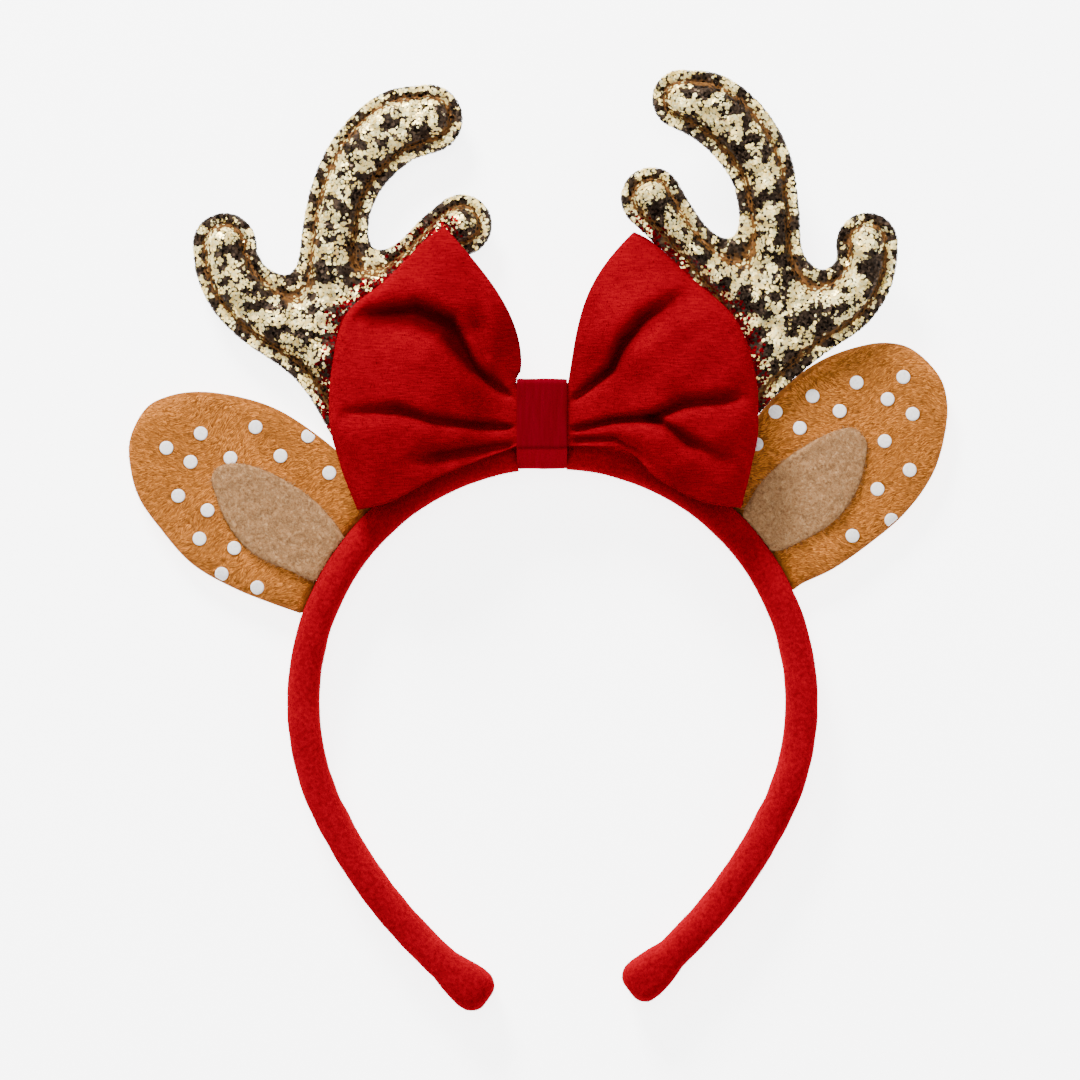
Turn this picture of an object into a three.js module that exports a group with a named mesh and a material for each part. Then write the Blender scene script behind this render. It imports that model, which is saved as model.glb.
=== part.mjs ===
// Reindeer antler headband, lying on its back: X to the wearer's left side as seen from the front,
// Y from the open ends towards the antlers, Z out of the front. Millimetres.
import * as THREE from "three";

// Headband: a round part and two straighter arms, each side of the crown
const band_radius = 58.7;
const round_angle = 116;
const arm_radius = 118;
const arm_left_angle = 28.5;
const arm_right_angle = 26.8;
const band_thickness = 7.4;
const band_depth = 12;
const band_corner = 3.1;
const tip_length = 13;
const tip_thickness = 10.2;
const tip_dome = 4.2;
const tip_end_share = 0.35;
const largest_corner_share = 0.9;
const flare_length_share = 0.72;
const station_step = 5;

// Ribbon round the bow's waist and the headband
const ribbon_width = 11.8;
const ribbon_thickness = 0.7;
const ribbon_corner = 1.4;

// Bow
const bow_shift = -2.5;
const waist_height = 8.8;
const waist_level = 15;
const waist_half = 7.4;
const waist_depth = 2.7;
const bow_reach = 50;
const bow_rise = 45;
const bow_wall = 1.8;
const lobe_clear = 0.8;
const front_puff = 9.5;
const back_puff = 4.0;
const edge_puff_share = 0.62;
const lobe_lift = 2.4;
const crease_depth = 3.4;

// Antlers
const antler_height = 92;
const tine_width = 15;
const antler_rim = 2.5;
const antler_rim_thickness = 1.6;
const antler_thickness = 8;
const antler_blend = 10;
const antler_left_angle = 33.5;
const antler_right_angle = 25.5;
const antler_left_level = 6;
const antler_right_level = 7.2;
const antler_right_lean = 5.5;

// Ears and the felt leaves on them
const ear_length = 57;
const ear_width = 41;
const ear_thickness = 4.4;
const ear_rim_thickness = 1.8;
const ear_level = 4;
const ear_left_angle = 55;
const ear_right_angle = 53.5;
const ear_left_rise = 28;
const ear_right_rise = 45.8;
const ear_tuck = 1.2;
const ear_shoulder_share = 0.125;
const felt_length = 35;
const felt_width = 18.5;
const felt_thickness = 1.2;

// Shares of the way out along a lobe: where the lobe has lifted clear and where its puff is full
const lift_run = 0.45;
const puff_run = 0.55;

// Clearance between two pieces that touch
const fit_gap = 0.3;

// Fineness of the faceted surfaces
const corner_steps = 3;
const wrap_directions = 48;
const lobe_steps = 12;
const strip_steps = 14;
const crossing_halvings = 12;
const antler_cell = 2.9;
const ear_cell = 4;
const felt_cell = 3.4;
const sample_count = 60;
const nearest_share = 0.015;
const area_share = 1.2;

// Lobe outlines. fold: v across the strip, out and up from the waist's centre as shares of reach and rise.
// belly: how far the top edge swells towards the middle, and where. hollow: the same for the lower edge.
const left_lobe = {
  fold: [
    { v: 1, out: 0.475, up: 1.0 },
    { v: 0.75, out: 0.71, up: 0.72 },
    { v: 0.5, out: 0.915, up: 0.52 },
    { v: 0.25, out: 0.98, up: 0.25 },
    { v: 0, out: 0.995, up: 0.03 },
    { v: -0.5, out: 0.946, up: -0.245 },
    { v: -1, out: 0.87, up: -0.47 },
  ],
  lift: [
    { v: 1, share: 0.6 },
    { v: 0.5, share: 1 },
    { v: -1, share: 1 },
  ],
  belly: 0.11,
  belly_place: 0.68,
  hollow: 0,
};
const right_lobe = {
  fold: [
    { v: 1, out: 0.455, up: 0.985 },
    { v: 0.75, out: 0.675, up: 0.735 },
    { v: 0.5, out: 0.9, up: 0.5 },
    { v: 0.25, out: 0.995, up: 0.22 },
    { v: 0, out: 1.01, up: -0.02 },
    { v: -0.5, out: 0.976, up: -0.275 },
    { v: -1, out: 0.93, up: -0.485 },
  ],
  lift: [
    { v: 1, share: -2.8 },
    { v: 0.8, share: 0.1 },
    { v: 0.55, share: 1.5 },
    { v: -1, share: 1.5 },
  ],
  belly: 0.085,
  belly_place: 1.1,
  hollow: 0.09,
};

// Where along a lobe its folds are full and where they fade, and how narrow they are at the waist
const crease_full = 0.15;
const crease_fade = 0.35;
const crease_fade_run = 0.6;
const crease_waist_share = 0.6;

// Which part of the strip's width the upper and the lower bulge cover
const upper_from = -0.2;

// Folds that run out of the waist: v at the waist and at the fold's end, depth and half-width in v
const left_creases = [
  { start: 0.72, end: 0.6, depth: 0.95, spread: 0.3 },
  { start: -0.22, end: -0.02, depth: 0.62, spread: 0.2 },
  { start: -0.72, end: -0.62, depth: 0.5, spread: 0.2 },
];
const right_creases = [
  { start: 0.7, end: 0.72, depth: 0.9, spread: 0.28 },
  { start: -0.22, end: 0.12, depth: 0.62, spread: 0.2 },
  { start: -0.3, end: -0.45, depth: 0.5, spread: 0.18 },
];

// Antler strokes: along and up from the root as shares of the height, half as a share of the tine width
const antler_left_strokes = {
  beam: [
    { along: 0.005, up: 0.008, half: 0.5 },
    { along: 0.089, up: 0.125, half: 0.53 },
    { along: 0.151, up: 0.248, half: 0.55 },
    { along: 0.187, up: 0.399, half: 0.53 },
    { along: 0.192, up: 0.527, half: 0.49 },
    { along: 0.184, up: 0.637, half: 0.48 },
    { along: 0.164, up: 0.734, half: 0.48 },
    { along: 0.112, up: 0.831, half: 0.52 },
    { along: 0.025, up: 0.908, half: 0.55 },
    { along: -0.056, up: 0.929, half: 0.51 },
  ],
  outer_tine: [
    { along: 0.207, up: 0.348, half: 0.48 },
    { along: 0.302, up: 0.389, half: 0.51 },
    { along: 0.384, up: 0.45, half: 0.53 },
    { along: 0.435, up: 0.504, half: 0.5 },
    { along: 0.46, up: 0.56, half: 0.48 },
    { along: 0.466, up: 0.606, half: 0.47 },
  ],
  inner_tine: [
    { along: 0.156, up: 0.399, half: 0.45 },
    { along: 0.092, up: 0.463, half: 0.45 },
    { along: 0.031, up: 0.517, half: 0.39 },
    { along: -0.031, up: 0.573, half: 0.36 },
    { along: -0.087, up: 0.627, half: 0.38 },
    { along: -0.141, up: 0.657, half: 0.45 },
  ],
};
const antler_right_strokes = {
  beam: [
    { along: -0.01, up: -0.034, half: 0.5 },
    { along: 0.085, up: 0.084, half: 0.5 },
    { along: 0.177, up: 0.196, half: 0.53 },
    { along: 0.259, up: 0.309, half: 0.55 },
    { along: 0.285, up: 0.427, half: 0.48 },
    { along: 0.267, up: 0.544, half: 0.44 },
    { along: 0.259, up: 0.652, half: 0.44 },
    { along: 0.238, up: 0.754, half: 0.47 },
    { along: 0.187, up: 0.839, half: 0.51 },
    { along: 0.111, up: 0.905, half: 0.51 },
    { along: 0.036, up: 0.928, half: 0.43 },
  ],
  outer_tine: [
    { along: 0.285, up: 0.34, half: 0.45 },
    { along: 0.382, up: 0.375, half: 0.5 },
    { along: 0.451, up: 0.414, half: 0.48 },
    { along: 0.494, up: 0.468, half: 0.45 },
    { along: 0.51, up: 0.519, half: 0.44 },
    { along: 0.51, up: 0.562, half: 0.45 },
  ],
  inner_tine: [
    { along: 0.244, up: 0.37, half: 0.45 },
    { along: 0.182, up: 0.437, half: 0.45 },
    { along: 0.121, up: 0.493, half: 0.39 },
    { along: 0.064, up: 0.552, half: 0.35 },
    { along: 0.013, up: 0.611, half: 0.38 },
    { along: -0.04, up: 0.677, half: 0.45 },
  ],
};

// Ear outlines along the ear's axis: the upper and lower edge as shares of the width
const ear_left_rows = [
  { along: -0.1, upper: 0.3, lower: -0.4 },
  { along: 0, upper: 0.375, lower: -0.41 },
  { along: 0.12, upper: 0.47, lower: -0.435 },
  { along: 0.3, upper: 0.53, lower: -0.462 },
  { along: 0.5, upper: 0.55, lower: -0.452 },
  { along: 0.68, upper: 0.5, lower: -0.36 },
  { along: 0.82, upper: 0.42, lower: -0.26 },
  { along: 0.91, upper: 0.325, lower: -0.13 },
  { along: 0.965, upper: 0.215, lower: 0.01 },
];
const ear_right_rows = [
  { along: -0.1, upper: 0.28, lower: -0.26 },
  { along: 0, upper: 0.32, lower: -0.307 },
  { along: 0.12, upper: 0.4, lower: -0.37 },
  { along: 0.3, upper: 0.52, lower: -0.42 },
  { along: 0.5, upper: 0.548, lower: -0.445 },
  { along: 0.7, upper: 0.505, lower: -0.4 },
  { along: 0.86, upper: 0.4, lower: -0.28 },
  { along: 0.95, upper: 0.3, lower: -0.17 },
  { along: 1.0, upper: 0.18, lower: -0.04 },
];
const felt_left_rows = [
  { along: -0.05, upper: 0.1, lower: -0.4 },
  { along: 0.22, upper: 0.39, lower: -0.5 },
  { along: 0.5, upper: 0.475, lower: -0.515 },
  { along: 0.74, upper: 0.45, lower: -0.32 },
  { along: 0.9, upper: 0.34, lower: -0.06 },
  { along: 0.96, upper: 0.22, lower: 0.06 },
];
const felt_right_rows = [
  { along: 0.0, upper: 0.4, lower: -0.1 },
  { along: 0.2, upper: 0.56, lower: -0.3 },
  { along: 0.45, upper: 0.58, lower: -0.41 },
  { along: 0.68, upper: 0.5, lower: -0.35 },
  { along: 0.88, upper: 0.36, lower: -0.15 },
  { along: 0.97, upper: 0.23, lower: 0 },
];

const degrees = Math.PI / 180;
const outer_radius = band_radius + band_thickness / 2;

// Materials
function material(color, roughness, metalness) {
  return new THREE.MeshStandardMaterial({ color, roughness, metalness });
}
const velvet = () => material(0xb0050c, 0.9, 0);
const satin = () => material(0x7a0012, 0.35, 0);
const glitter = () => material(0xc2a468, 0.3, 0.9);
const plush = () => material(0xc98a48, 0.95, 0);
const felt = () => material(0xb59a7c, 0.95, 0);

// A closed mesh from shared points and triangles, turned so that its faces point out
function closedMesh(name, points, faces, look) {
  let volume = 0;
  for (const [a, b, c] of faces) {
    const [p, q, r] = [points[a], points[b], points[c]];
    volume += p[0] * (q[1] * r[2] - q[2] * r[1]);
    volume -= p[1] * (q[0] * r[2] - q[2] * r[0]);
    volume += p[2] * (q[0] * r[1] - q[1] * r[0]);
  }
  const outward = volume > 0 ? faces : faces.map(([a, b, c]) => [a, c, b]);
  const geometry = new THREE.BufferGeometry();
  geometry.setAttribute("position", new THREE.Float32BufferAttribute(points.flat(), 3));
  geometry.setIndex(outward.flat());
  geometry.computeVertexNormals();
  const mesh = new THREE.Mesh(geometry, look);
  mesh.name = name;
  return mesh;
}

// Rings of equally many points joined into a skin, with flat caps or closed on itself
function ringSkin(name, rings, looped, look) {
  const size = rings[0].length;
  const points = rings.flat();
  const faces = [];
  const spans = looped ? rings.length : rings.length - 1;
  for (let i = 0; i < spans; i += 1) {
    const next = (i + 1) % rings.length;
    for (let j = 0; j < size; j += 1) {
      const a = i * size + j;
      const b = i * size + ((j + 1) % size);
      const c = next * size + ((j + 1) % size);
      const d = next * size + j;
      faces.push([a, b, c], [a, c, d]);
    }
  }
  if (!looped) {
    const last = (rings.length - 1) * size;
    for (let j = 1; j < size - 1; j += 1) {
      faces.push([0, j + 1, j], [last, last + j, last + j + 1]);
    }
  }
  return closedMesh(name, points, faces, look);
}

// Straight interpolation of one column of a table over another
function tableValue(rows, key, column, at) {
  const ordered = [...rows].sort((p, q) => p[key] - q[key]);
  if (at <= ordered[0][key]) return ordered[0][column];
  for (let i = 1; i < ordered.length; i += 1) {
    if (at <= ordered[i][key]) {
      const share = (at - ordered[i - 1][key]) / (ordered[i][key] - ordered[i - 1][key]);
      return ordered[i - 1][column] + share * (ordered[i][column] - ordered[i - 1][column]);
    }
  }
  return ordered[ordered.length - 1][column];
}

// Point, heading and outward normal of the headband's centreline, a length away from the crown
function bandStation(length, side) {
  const round_length = band_radius * round_angle * degrees;
  const turn = Math.min(length, round_length) / band_radius;
  let x = band_radius * Math.sin(turn);
  let y = band_radius * (Math.cos(turn) - 1);
  let heading = turn;
  if (length > round_length) {
    const more = (length - round_length) / arm_radius;
    heading = turn + more;
    x += arm_radius * (Math.sin(heading) - Math.sin(turn));
    y += arm_radius * (Math.cos(heading) - Math.cos(turn));
  }
  return { x: side * x, y, nx: side * Math.sin(heading), ny: Math.cos(heading) };
}

// Rounded rectangle in the plane across the headband, as pairs of radial and depth offsets
function roundedSection(half_thick, half_deep, corner) {
  const section = [];
  const corners = [
    { r: 1, z: -1, from: -90 },
    { r: 1, z: 1, from: 0 },
    { r: -1, z: 1, from: 90 },
    { r: -1, z: -1, from: 180 },
  ];
  for (const { r, z, from } of corners) {
    for (let i = 0; i <= corner_steps; i += 1) {
      const angle = (from + (90 * i) / corner_steps) * degrees;
      section.push([
        r * (half_thick - corner) + corner * Math.cos(angle),
        z * (half_deep - corner) + corner * Math.sin(angle),
      ]);
    }
  }
  return section;
}

// How much slimmer the headband is under the ribbon
const notch = ribbon_thickness + fit_gap;

// Stations along the headband: slim under the ribbon, even round the hoop, thicker and domed at both ends
function headband() {
  const notch_half = ribbon_width / 2 + fit_gap;
  const flare_at = [0.3, 0.55, flare_length_share];
  const dome_bends = [30, 55, 75];
  const stations = [];
  for (const side of [-1, 1]) {
    const list = [];
    const arm_angle = side < 0 ? arm_left_angle : arm_right_angle;
    const band_length = (band_radius * round_angle + arm_radius * arm_angle) * degrees;
    const notch_end = notch_half + side * bow_shift;
    list.push({ length: notch_end, narrow: notch }, { length: notch_end + fit_gap, narrow: 0 });
    const first = notch_end + station_step;
    const flare_start = band_length - tip_length;
    const count = Math.round((flare_start - first) / station_step);
    for (let i = 0; i <= count; i += 1) {
      list.push({ length: first + ((flare_start - first) * i) / count, narrow: 0 });
    }
    for (const share of flare_at) {
      const flare = Math.sin(((share / flare_length_share) * Math.PI) / 2);
      list.push({ length: flare_start + tip_length * share, narrow: 0, flare });
    }
    for (const bend of dome_bends) {
      const shrink = Math.cos(bend * degrees);
      const advance = tip_dome * Math.sin(bend * degrees);
      list.push({ length: band_length - tip_dome + advance, narrow: 0, flare: 1, shrink });
    }
    if (side < 0) list.reverse();
    stations.push(...list.map((station) => ({ ...station, side })));
  }
  const rings = stations.map(({ length, narrow, flare = 0, shrink = 1, side }) => {
    const at = narrow > 0 ? { x: side * length, y: 0, nx: 0, ny: 1 } : bandStation(length, side);
    const thick = band_thickness + (tip_thickness - band_thickness) * flare;
    const size = tip_end_share + (1 - tip_end_share) * shrink;
    const half_thick = (thick / 2 - narrow) * size;
    const half_deep = (band_depth / 2 - narrow) * size;
    const corner = narrow > 0 ? ribbon_corner : Math.min(band_corner, half_thick * largest_corner_share);
    return roundedSection(half_thick, half_deep, corner).map(([r, z]) => [
      at.x + at.nx * r,
      at.y + at.ny * r,
      band_depth / 2 + z,
    ]);
  });
  return ringSkin("headband", rings, false, velvet());
}

// Convex loop round points of the Y-Z plane, moved out by a clearance, one point for each direction
// and two where a side runs straight up or across
function wrapLoop(points, clearance) {
  const loop = [];
  const nudge = 0.5;
  for (let i = 0; i < wrap_directions; i += 1) {
    for (const offset of i % (wrap_directions / 4) === 0 ? [-nudge, nudge] : [0]) {
      const angle = (360 * i) / wrap_directions + offset;
      const dy = Math.cos(angle * degrees);
      const dz = Math.sin(angle * degrees);
      let best = points[0];
      for (const point of points) {
        if (point[0] * dy + point[1] * dz > best[0] * dy + best[1] * dz) best = point;
      }
      loop.push([best[0] + clearance * dy, best[1] + clearance * dz]);
    }
  }
  return loop;
}

// Section of the bow's waist in the Y-Z plane
function waistSection() {
  const section = roundedSection(waist_half, waist_depth, fit_gap);
  return section.map(([y, z]) => [waist_height + y, waist_level + z]);
}

// The ribbon is a tight flat loop round the headband and the bow's waist
function bowKnot() {
  const core = roundedSection(band_thickness / 2 - notch, band_depth / 2 - notch, ribbon_corner);
  const held = [...core.map(([y, z]) => [y, band_depth / 2 + z]), ...waistSection()];
  const inner = wrapLoop(held, fit_gap);
  const outer = wrapLoop(held, notch);
  const left = bow_shift - ribbon_width / 2;
  const right = bow_shift + ribbon_width / 2;
  const rings = [
    outer.map(([y, z]) => [left, y, z]),
    outer.map(([y, z]) => [right, y, z]),
    inner.map(([y, z]) => [right, y, z]),
    inner.map(([y, z]) => [left, y, z]),
  ];
  return ringSkin("bow_knot", rings, true, satin());
}

// Smooth step from 0 to 1
function ease(share) {
  const clamped = Math.min(Math.max(share, 0), 1);
  return clamped * clamped * (3 - 2 * clamped);
}

// Depth of the folds at a place on a lobe: deepest a little way out of the waist, gone at the fold's end
function creaseDepth(creases, u, v) {
  let depth = 0;
  for (const { start, end, depth: full, spread } of creases) {
    const line = start + (end - start) * u;
    const away = (v - line) / (spread * (crease_waist_share + (1 - crease_waist_share) * u));
    const along = ease(u / crease_full) * (1 - ease((u - crease_fade) / crease_fade_run));
    depth += full * along * Math.exp(-away * away);
  }
  return depth;
}

// One point of the bow's outer surface: u out of the waist, v across the strip, front or back
function bowPoint(lobe, creases, side, u, v, front) {
  const start_out = ribbon_width / 2 + lobe_clear;
  const end_out = bow_reach * tableValue(lobe.fold, "v", "out", v);
  const end_up = bow_rise * tableValue(lobe.fold, "v", "up", v);
  const start_up = waist_half * v;
  const run_out = end_out - start_out;
  const run_up = end_up - start_up;
  const run = Math.hypot(run_out, run_up);
  const swell = Math.sin(Math.PI * Math.pow(u, lobe.belly_place)) * bow_reach;
  const upper = Math.max((v - upper_from) / (1 - upper_from), 0);
  const lower = Math.max((upper_from - v) / (1 + upper_from), 0);
  const bulge = swell * (lobe.belly * upper * upper + lobe.hollow * lower * lower);
  const out = Math.max(start_out + run_out * u - (bulge * run_up) / run, start_out + fit_gap * u);
  const up = start_up + run_up * u + (bulge * run_out) / run;
  const fold_share = tableValue(lobe.lift, "v", "share", v);
  const middle = waist_level + lobe_lift * ease(u / lift_run) * (1 - u + fold_share * u);
  const rounding = Math.sqrt(Math.max(1 - Math.pow(u, 4), 0));
  const edge = 1 - (1 - edge_puff_share) * v * v;
  const puff = front ? front_puff * edge : back_puff;
  const height = (waist_depth + (puff - waist_depth) * ease(u / puff_run)) * rounding;
  const fold = crease_depth * creaseDepth(creases, u, v);
  const z = front ? middle + height - fold : middle - height;
  return [bow_shift + side * out, waist_height + up, z];
}

// The bow is one strip joined end to end: front of the right lobe, its fold, the back, and the left lobe
function bow() {
  const route = [];
  for (const side of [1, -1]) {
    for (let i = 0; i <= lobe_steps * 2; i += 1) {
      const turn = i / lobe_steps;
      const u = Math.sin((Math.min(turn, 2 - turn) * Math.PI) / 2);
      route.push({ side, u, front: side > 0 ? turn <= 1 : turn > 1 });
    }
  }
  const outer = route.map(({ side, u, front }) => {
    const [lobe, creases] = side > 0 ? [right_lobe, right_creases] : [left_lobe, left_creases];
    return Array.from({ length: strip_steps + 1 }, (_, j) => {
      const v = (2 * j) / strip_steps - 1;
      return bowPoint(lobe, creases, side, u, v, front);
    });
  });
  const rings = outer.map((row, i) => {
    const before = outer[(i + outer.length - 1) % outer.length];
    const after = outer[(i + 1) % outer.length];
    const inner = row.map((point, j) => {
      const along = new THREE.Vector3(...after[j]).sub(new THREE.Vector3(...before[j]));
      const low = row[Math.max(j - 1, 0)];
      const high = row[Math.min(j + 1, strip_steps)];
      const cross = new THREE.Vector3(...high).sub(new THREE.Vector3(...low));
      const normal = along.cross(cross).normalize();
      return [0, 1, 2].map((axis) => point[axis] - bow_wall * normal.getComponent(axis));
    });
    return [...row, ...inner.reverse()];
  });
  return ringSkin("bow", rings, true, velvet());
}

// Points with a half-width along a smooth curve through a stroke's rows
function strokeSamples(rows) {
  const spots = rows.map(({ along, up, half }) => {
    return new THREE.Vector3(along * antler_height, up * antler_height, half * tine_width);
  });
  return new THREE.CatmullRomCurve3(spots, false, "centripetal").getPoints(sample_count);
}

// Signed distance to a stroke
function strokeDistance(samples, x, y) {
  let nearest = Infinity;
  for (const { x: sx, y: sy, z: half } of samples) {
    nearest = Math.min(nearest, Math.hypot(x - sx, y - sy) - half);
  }
  return nearest;
}

// Smooth union of two distances
function blendUnion(a, b) {
  const overlap = Math.max(antler_blend - Math.abs(a - b), 0) / antler_blend;
  return Math.min(a, b) - (overlap * overlap * antler_blend) / 4;
}

// Centre of a root on the headband's outer face
function rootPoint(angle, side) {
  return [
    side * outer_radius * Math.sin(angle * degrees),
    outer_radius * Math.cos(angle * degrees) - band_radius,
  ];
}

// How far a point lies inside the headband's outline, with the clearance round it
function bandKeepOut(x, y) {
  return outer_radius + fit_gap - Math.hypot(x, y + band_radius);
}

// Signed distance to an antler's outline in plan: its strokes run together, cut off at the headband
function antlerField(strokes, angle, side) {
  const [root_x, root_y] = rootPoint(angle, side);
  const parts = Object.values(strokes).map(strokeSamples);
  return (x, y) => {
    const along = side * (x - root_x);
    const up = y - root_y;
    let distance = strokeDistance(parts[0], along, up);
    for (const part of parts.slice(1)) {
      distance = blendUnion(distance, strokeDistance(part, along, up));
    }
    return Math.max(distance, bandKeepOut(x, y));
  };
}

const leftAntlerField = antlerField(antler_left_strokes, antler_left_angle, -1);
const rightAntlerField = antlerField(antler_right_strokes, antler_right_angle, 1);

// Closed outline through the rows of a leaf table, as plan points
function leafOutline(rows, length, width, angle, rise, side) {
  const [root_x, root_y] = rootPoint(angle, side);
  const ax = side * Math.cos(rise * degrees);
  const ay = Math.sin(rise * degrees);
  const spots = [
    ...rows.map(({ along, upper }) => [along, upper]),
    ...rows.map(({ along, lower }) => [along, lower]).reverse(),
  ];
  const points = spots.map(([along, over]) => {
    const x = root_x + ax * along * length - side * ay * over * width;
    const y = root_y + ay * along * length + side * ax * over * width;
    return new THREE.Vector3(x, y, 0);
  });
  return new THREE.CatmullRomCurve3(points, true, "centripetal").getPoints(sample_count * 2).slice(0, -1);
}

// Signed distance to a closed outline, negative inside
function outlineDistance(outline, x, y) {
  let nearest = Infinity;
  let inside = false;
  for (let i = 0; i < outline.length; i += 1) {
    const a = outline[i];
    const b = outline[(i + 1) % outline.length];
    const ex = b.x - a.x;
    const ey = b.y - a.y;
    const share = Math.min(Math.max(((x - a.x) * ex + (y - a.y) * ey) / (ex * ex + ey * ey), 0), 1);
    nearest = Math.min(nearest, Math.hypot(x - a.x - ex * share, y - a.y - ey * share));
    if (a.y > y !== b.y > y && x < a.x + (ex * (y - a.y)) / ey) inside = !inside;
  }
  return inside ? -nearest : nearest;
}

// Where a field changes sign between a point inside and a point outside, never quite at either end
function outlineCrossing(field, inside, outside) {
  let low = nearest_share;
  let high = 1 - nearest_share;
  const along = (share) => inside.map((value, axis) => value + (outside[axis] - value) * share);
  for (let i = 0; i < crossing_halvings; i += 1) {
    const middle = (low + high) / 2;
    if (field(...along(middle)) < 0) {
      low = middle;
    } else {
      high = middle;
    }
  }
  return along(low);
}

// A plate over the inside of a plan field: squares of a grid cut along the outline, as a front and a back
// with a wall between them
function plate(name, field, area, cell, frontRise, backRise, origin, look) {
  const columns = Math.ceil((area.max_x - area.min_x) / cell) + 1;
  const lines = Math.ceil((area.max_y - area.min_y) / cell) + 1;
  const smallest = cell * nearest_share;
  const place = (i, j) => [area.min_x + i * cell, area.min_y + j * cell];
  const values = new Map();
  const valueAt = (i, j) => {
    const key = `${i},${j}`;
    if (!values.has(key)) {
      const value = field(...place(i, j));
      values.set(key, Math.abs(value) < smallest ? -smallest : value);
    }
    return values.get(key);
  };
  const plan = [];
  const known = new Map();
  const pointFor = (key, x, y) => {
    if (!known.has(key)) {
      known.set(key, plan.length);
      plan.push([x, y]);
    }
    return known.get(key);
  };
  const faces = [];
  const rim = [];
  for (let i = 0; i < columns; i += 1) {
    for (let j = 0; j < lines; j += 1) {
      const corners = [[i, j], [i + 1, j], [i + 1, j + 1], [i, j + 1]];
      const polygon = [];
      for (let n = 0; n < 4; n += 1) {
        const here = corners[n];
        const there = corners[(n + 1) % 4];
        const here_in = valueAt(...here) < 0;
        if (here_in) {
          polygon.push({ id: pointFor(here.join(), ...place(...here)), leaving: false, cut: false });
        }
        if (here_in !== valueAt(...there) < 0) {
          const key = [here.join(), there.join()].sort().join("|");
          const [kept, lost] = here_in ? [here, there] : [there, here];
          const crossing = outlineCrossing(field, place(...kept), place(...lost));
          polygon.push({ id: pointFor(key, ...crossing), leaving: here_in, cut: true });
        }
      }
      for (let n = 0; n < polygon.length; n += 1) {
        const corner = polygon[n];
        const next = polygon[(n + 1) % polygon.length];
        if (n > 0 && n < polygon.length - 1) faces.push([polygon[0].id, corner.id, next.id]);
        if (corner.leaving && next.cut) rim.push([corner.id, next.id]);
      }
    }
  }
  const depths = plan.map(([x, y]) => Math.max(-field(x, y), 0));
  const [ox, oy] = origin;
  const front = plan.map(([x, y], n) => [x - ox, y - oy, frontRise(depths[n])]);
  const back = plan.map(([x, y], n) => [x - ox, y - oy, -backRise(depths[n])]);
  const shift = plan.length;
  const all = [
    ...faces,
    ...faces.map(([a, b, c]) => [a + shift, c + shift, b + shift]),
    ...rim.flatMap(([a, b]) => [[a, a + shift, b], [b, a + shift, b + shift]]),
  ];
  return closedMesh(name, [...front, ...back], all, look);
}

// Half thickness of a padded plate at a depth in from its outline, with a flat rim and a rounded shoulder
function padded(rim_width, rim_half, full_half, shoulder) {
  return (depth) => {
    const share = Math.min(Math.max((depth - rim_width) / shoulder, 0), 1);
    return rim_half + (full_half - rim_half) * Math.sqrt(1 - (1 - share) * (1 - share));
  };
}

// Square area of the plan round a point
function areaRound([x, y], reach) {
  return { min_x: x - reach, max_x: x + reach, min_y: y - reach, max_y: y + reach };
}

// An antler stands on its root and leans by turning about it
function antler(name, field, angle, side, level, lean) {
  const origin = rootPoint(angle, side);
  const shoulder = tine_width / 2 - antler_rim;
  const rise = padded(antler_rim, antler_rim_thickness / 2, antler_thickness / 2, shoulder);
  const area = areaRound(origin, antler_height * area_share);
  const mesh = plate(name, field, area, antler_cell, rise, rise, origin, glitter());
  mesh.position.set(origin[0], origin[1], level);
  mesh.rotation.x = lean * degrees;
  return mesh;
}

// A padded ear, cut short of the headband and of the antler beside it
function ear(name, rows, angle, rise_angle, side, keepClear) {
  const outline = leafOutline(rows, ear_length, ear_width, angle, rise_angle, side);
  const field = (x, y) => Math.max(outlineDistance(outline, x, y), bandKeepOut(x, y), keepClear(x, y));
  const rise = padded(0, ear_rim_thickness / 2, ear_thickness / 2, ear_width * ear_shoulder_share);
  const origin = rootPoint(angle, side);
  const area = areaRound(origin, ear_length * area_share);
  const mesh = plate(name, field, area, ear_cell, rise, rise, origin, plush());
  mesh.position.set(origin[0], origin[1], ear_level);
  return mesh;
}

// A felt leaf that lies on the front of an ear
function innerEar(name, rows, angle, rise_angle, side) {
  const outline = leafOutline(rows, felt_length, felt_width, angle, rise_angle, side);
  const field = (x, y) => Math.max(outlineDistance(outline, x, y), bandKeepOut(x, y));
  const base = ear_thickness / 2 + fit_gap;
  const origin = rootPoint(angle, side);
  const area = areaRound(origin, felt_length * area_share);
  const mesh = plate(name, field, area, felt_cell, () => base + felt_thickness, () => -base, origin, felt());
  mesh.position.set(origin[0], origin[1], ear_level);
  return mesh;
}

const clearOfLeftAntler = (x, y) => fit_gap - leftAntlerField(x, y);
const behindRightAntler = (x, y) => -ear_tuck - rightAntlerField(x, y);

const headpiece = new THREE.Group();
headpiece.add(headband());
headpiece.add(bow());
headpiece.add(bowKnot());
headpiece.add(antler("antler_left", leftAntlerField, antler_left_angle, -1, antler_left_level, 0));
headpiece.add(
  antler("antler_right", rightAntlerField, antler_right_angle, 1, antler_right_level, antler_right_lean),
);
headpiece.add(ear("ear_left", ear_left_rows, ear_left_angle, ear_left_rise, -1, clearOfLeftAntler));
headpiece.add(ear("ear_right", ear_right_rows, ear_right_angle, ear_right_rise, 1, behindRightAntler));
headpiece.add(innerEar("inner_ear_left", felt_left_rows, ear_left_angle, ear_left_rise, -1));
headpiece.add(innerEar("inner_ear_right", felt_right_rows, ear_right_angle, ear_right_rise, 1));

export default headpiece;
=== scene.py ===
"""Reindeer antler headband, lying on its back on a pale table and seen from straight above."""

import math

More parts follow.
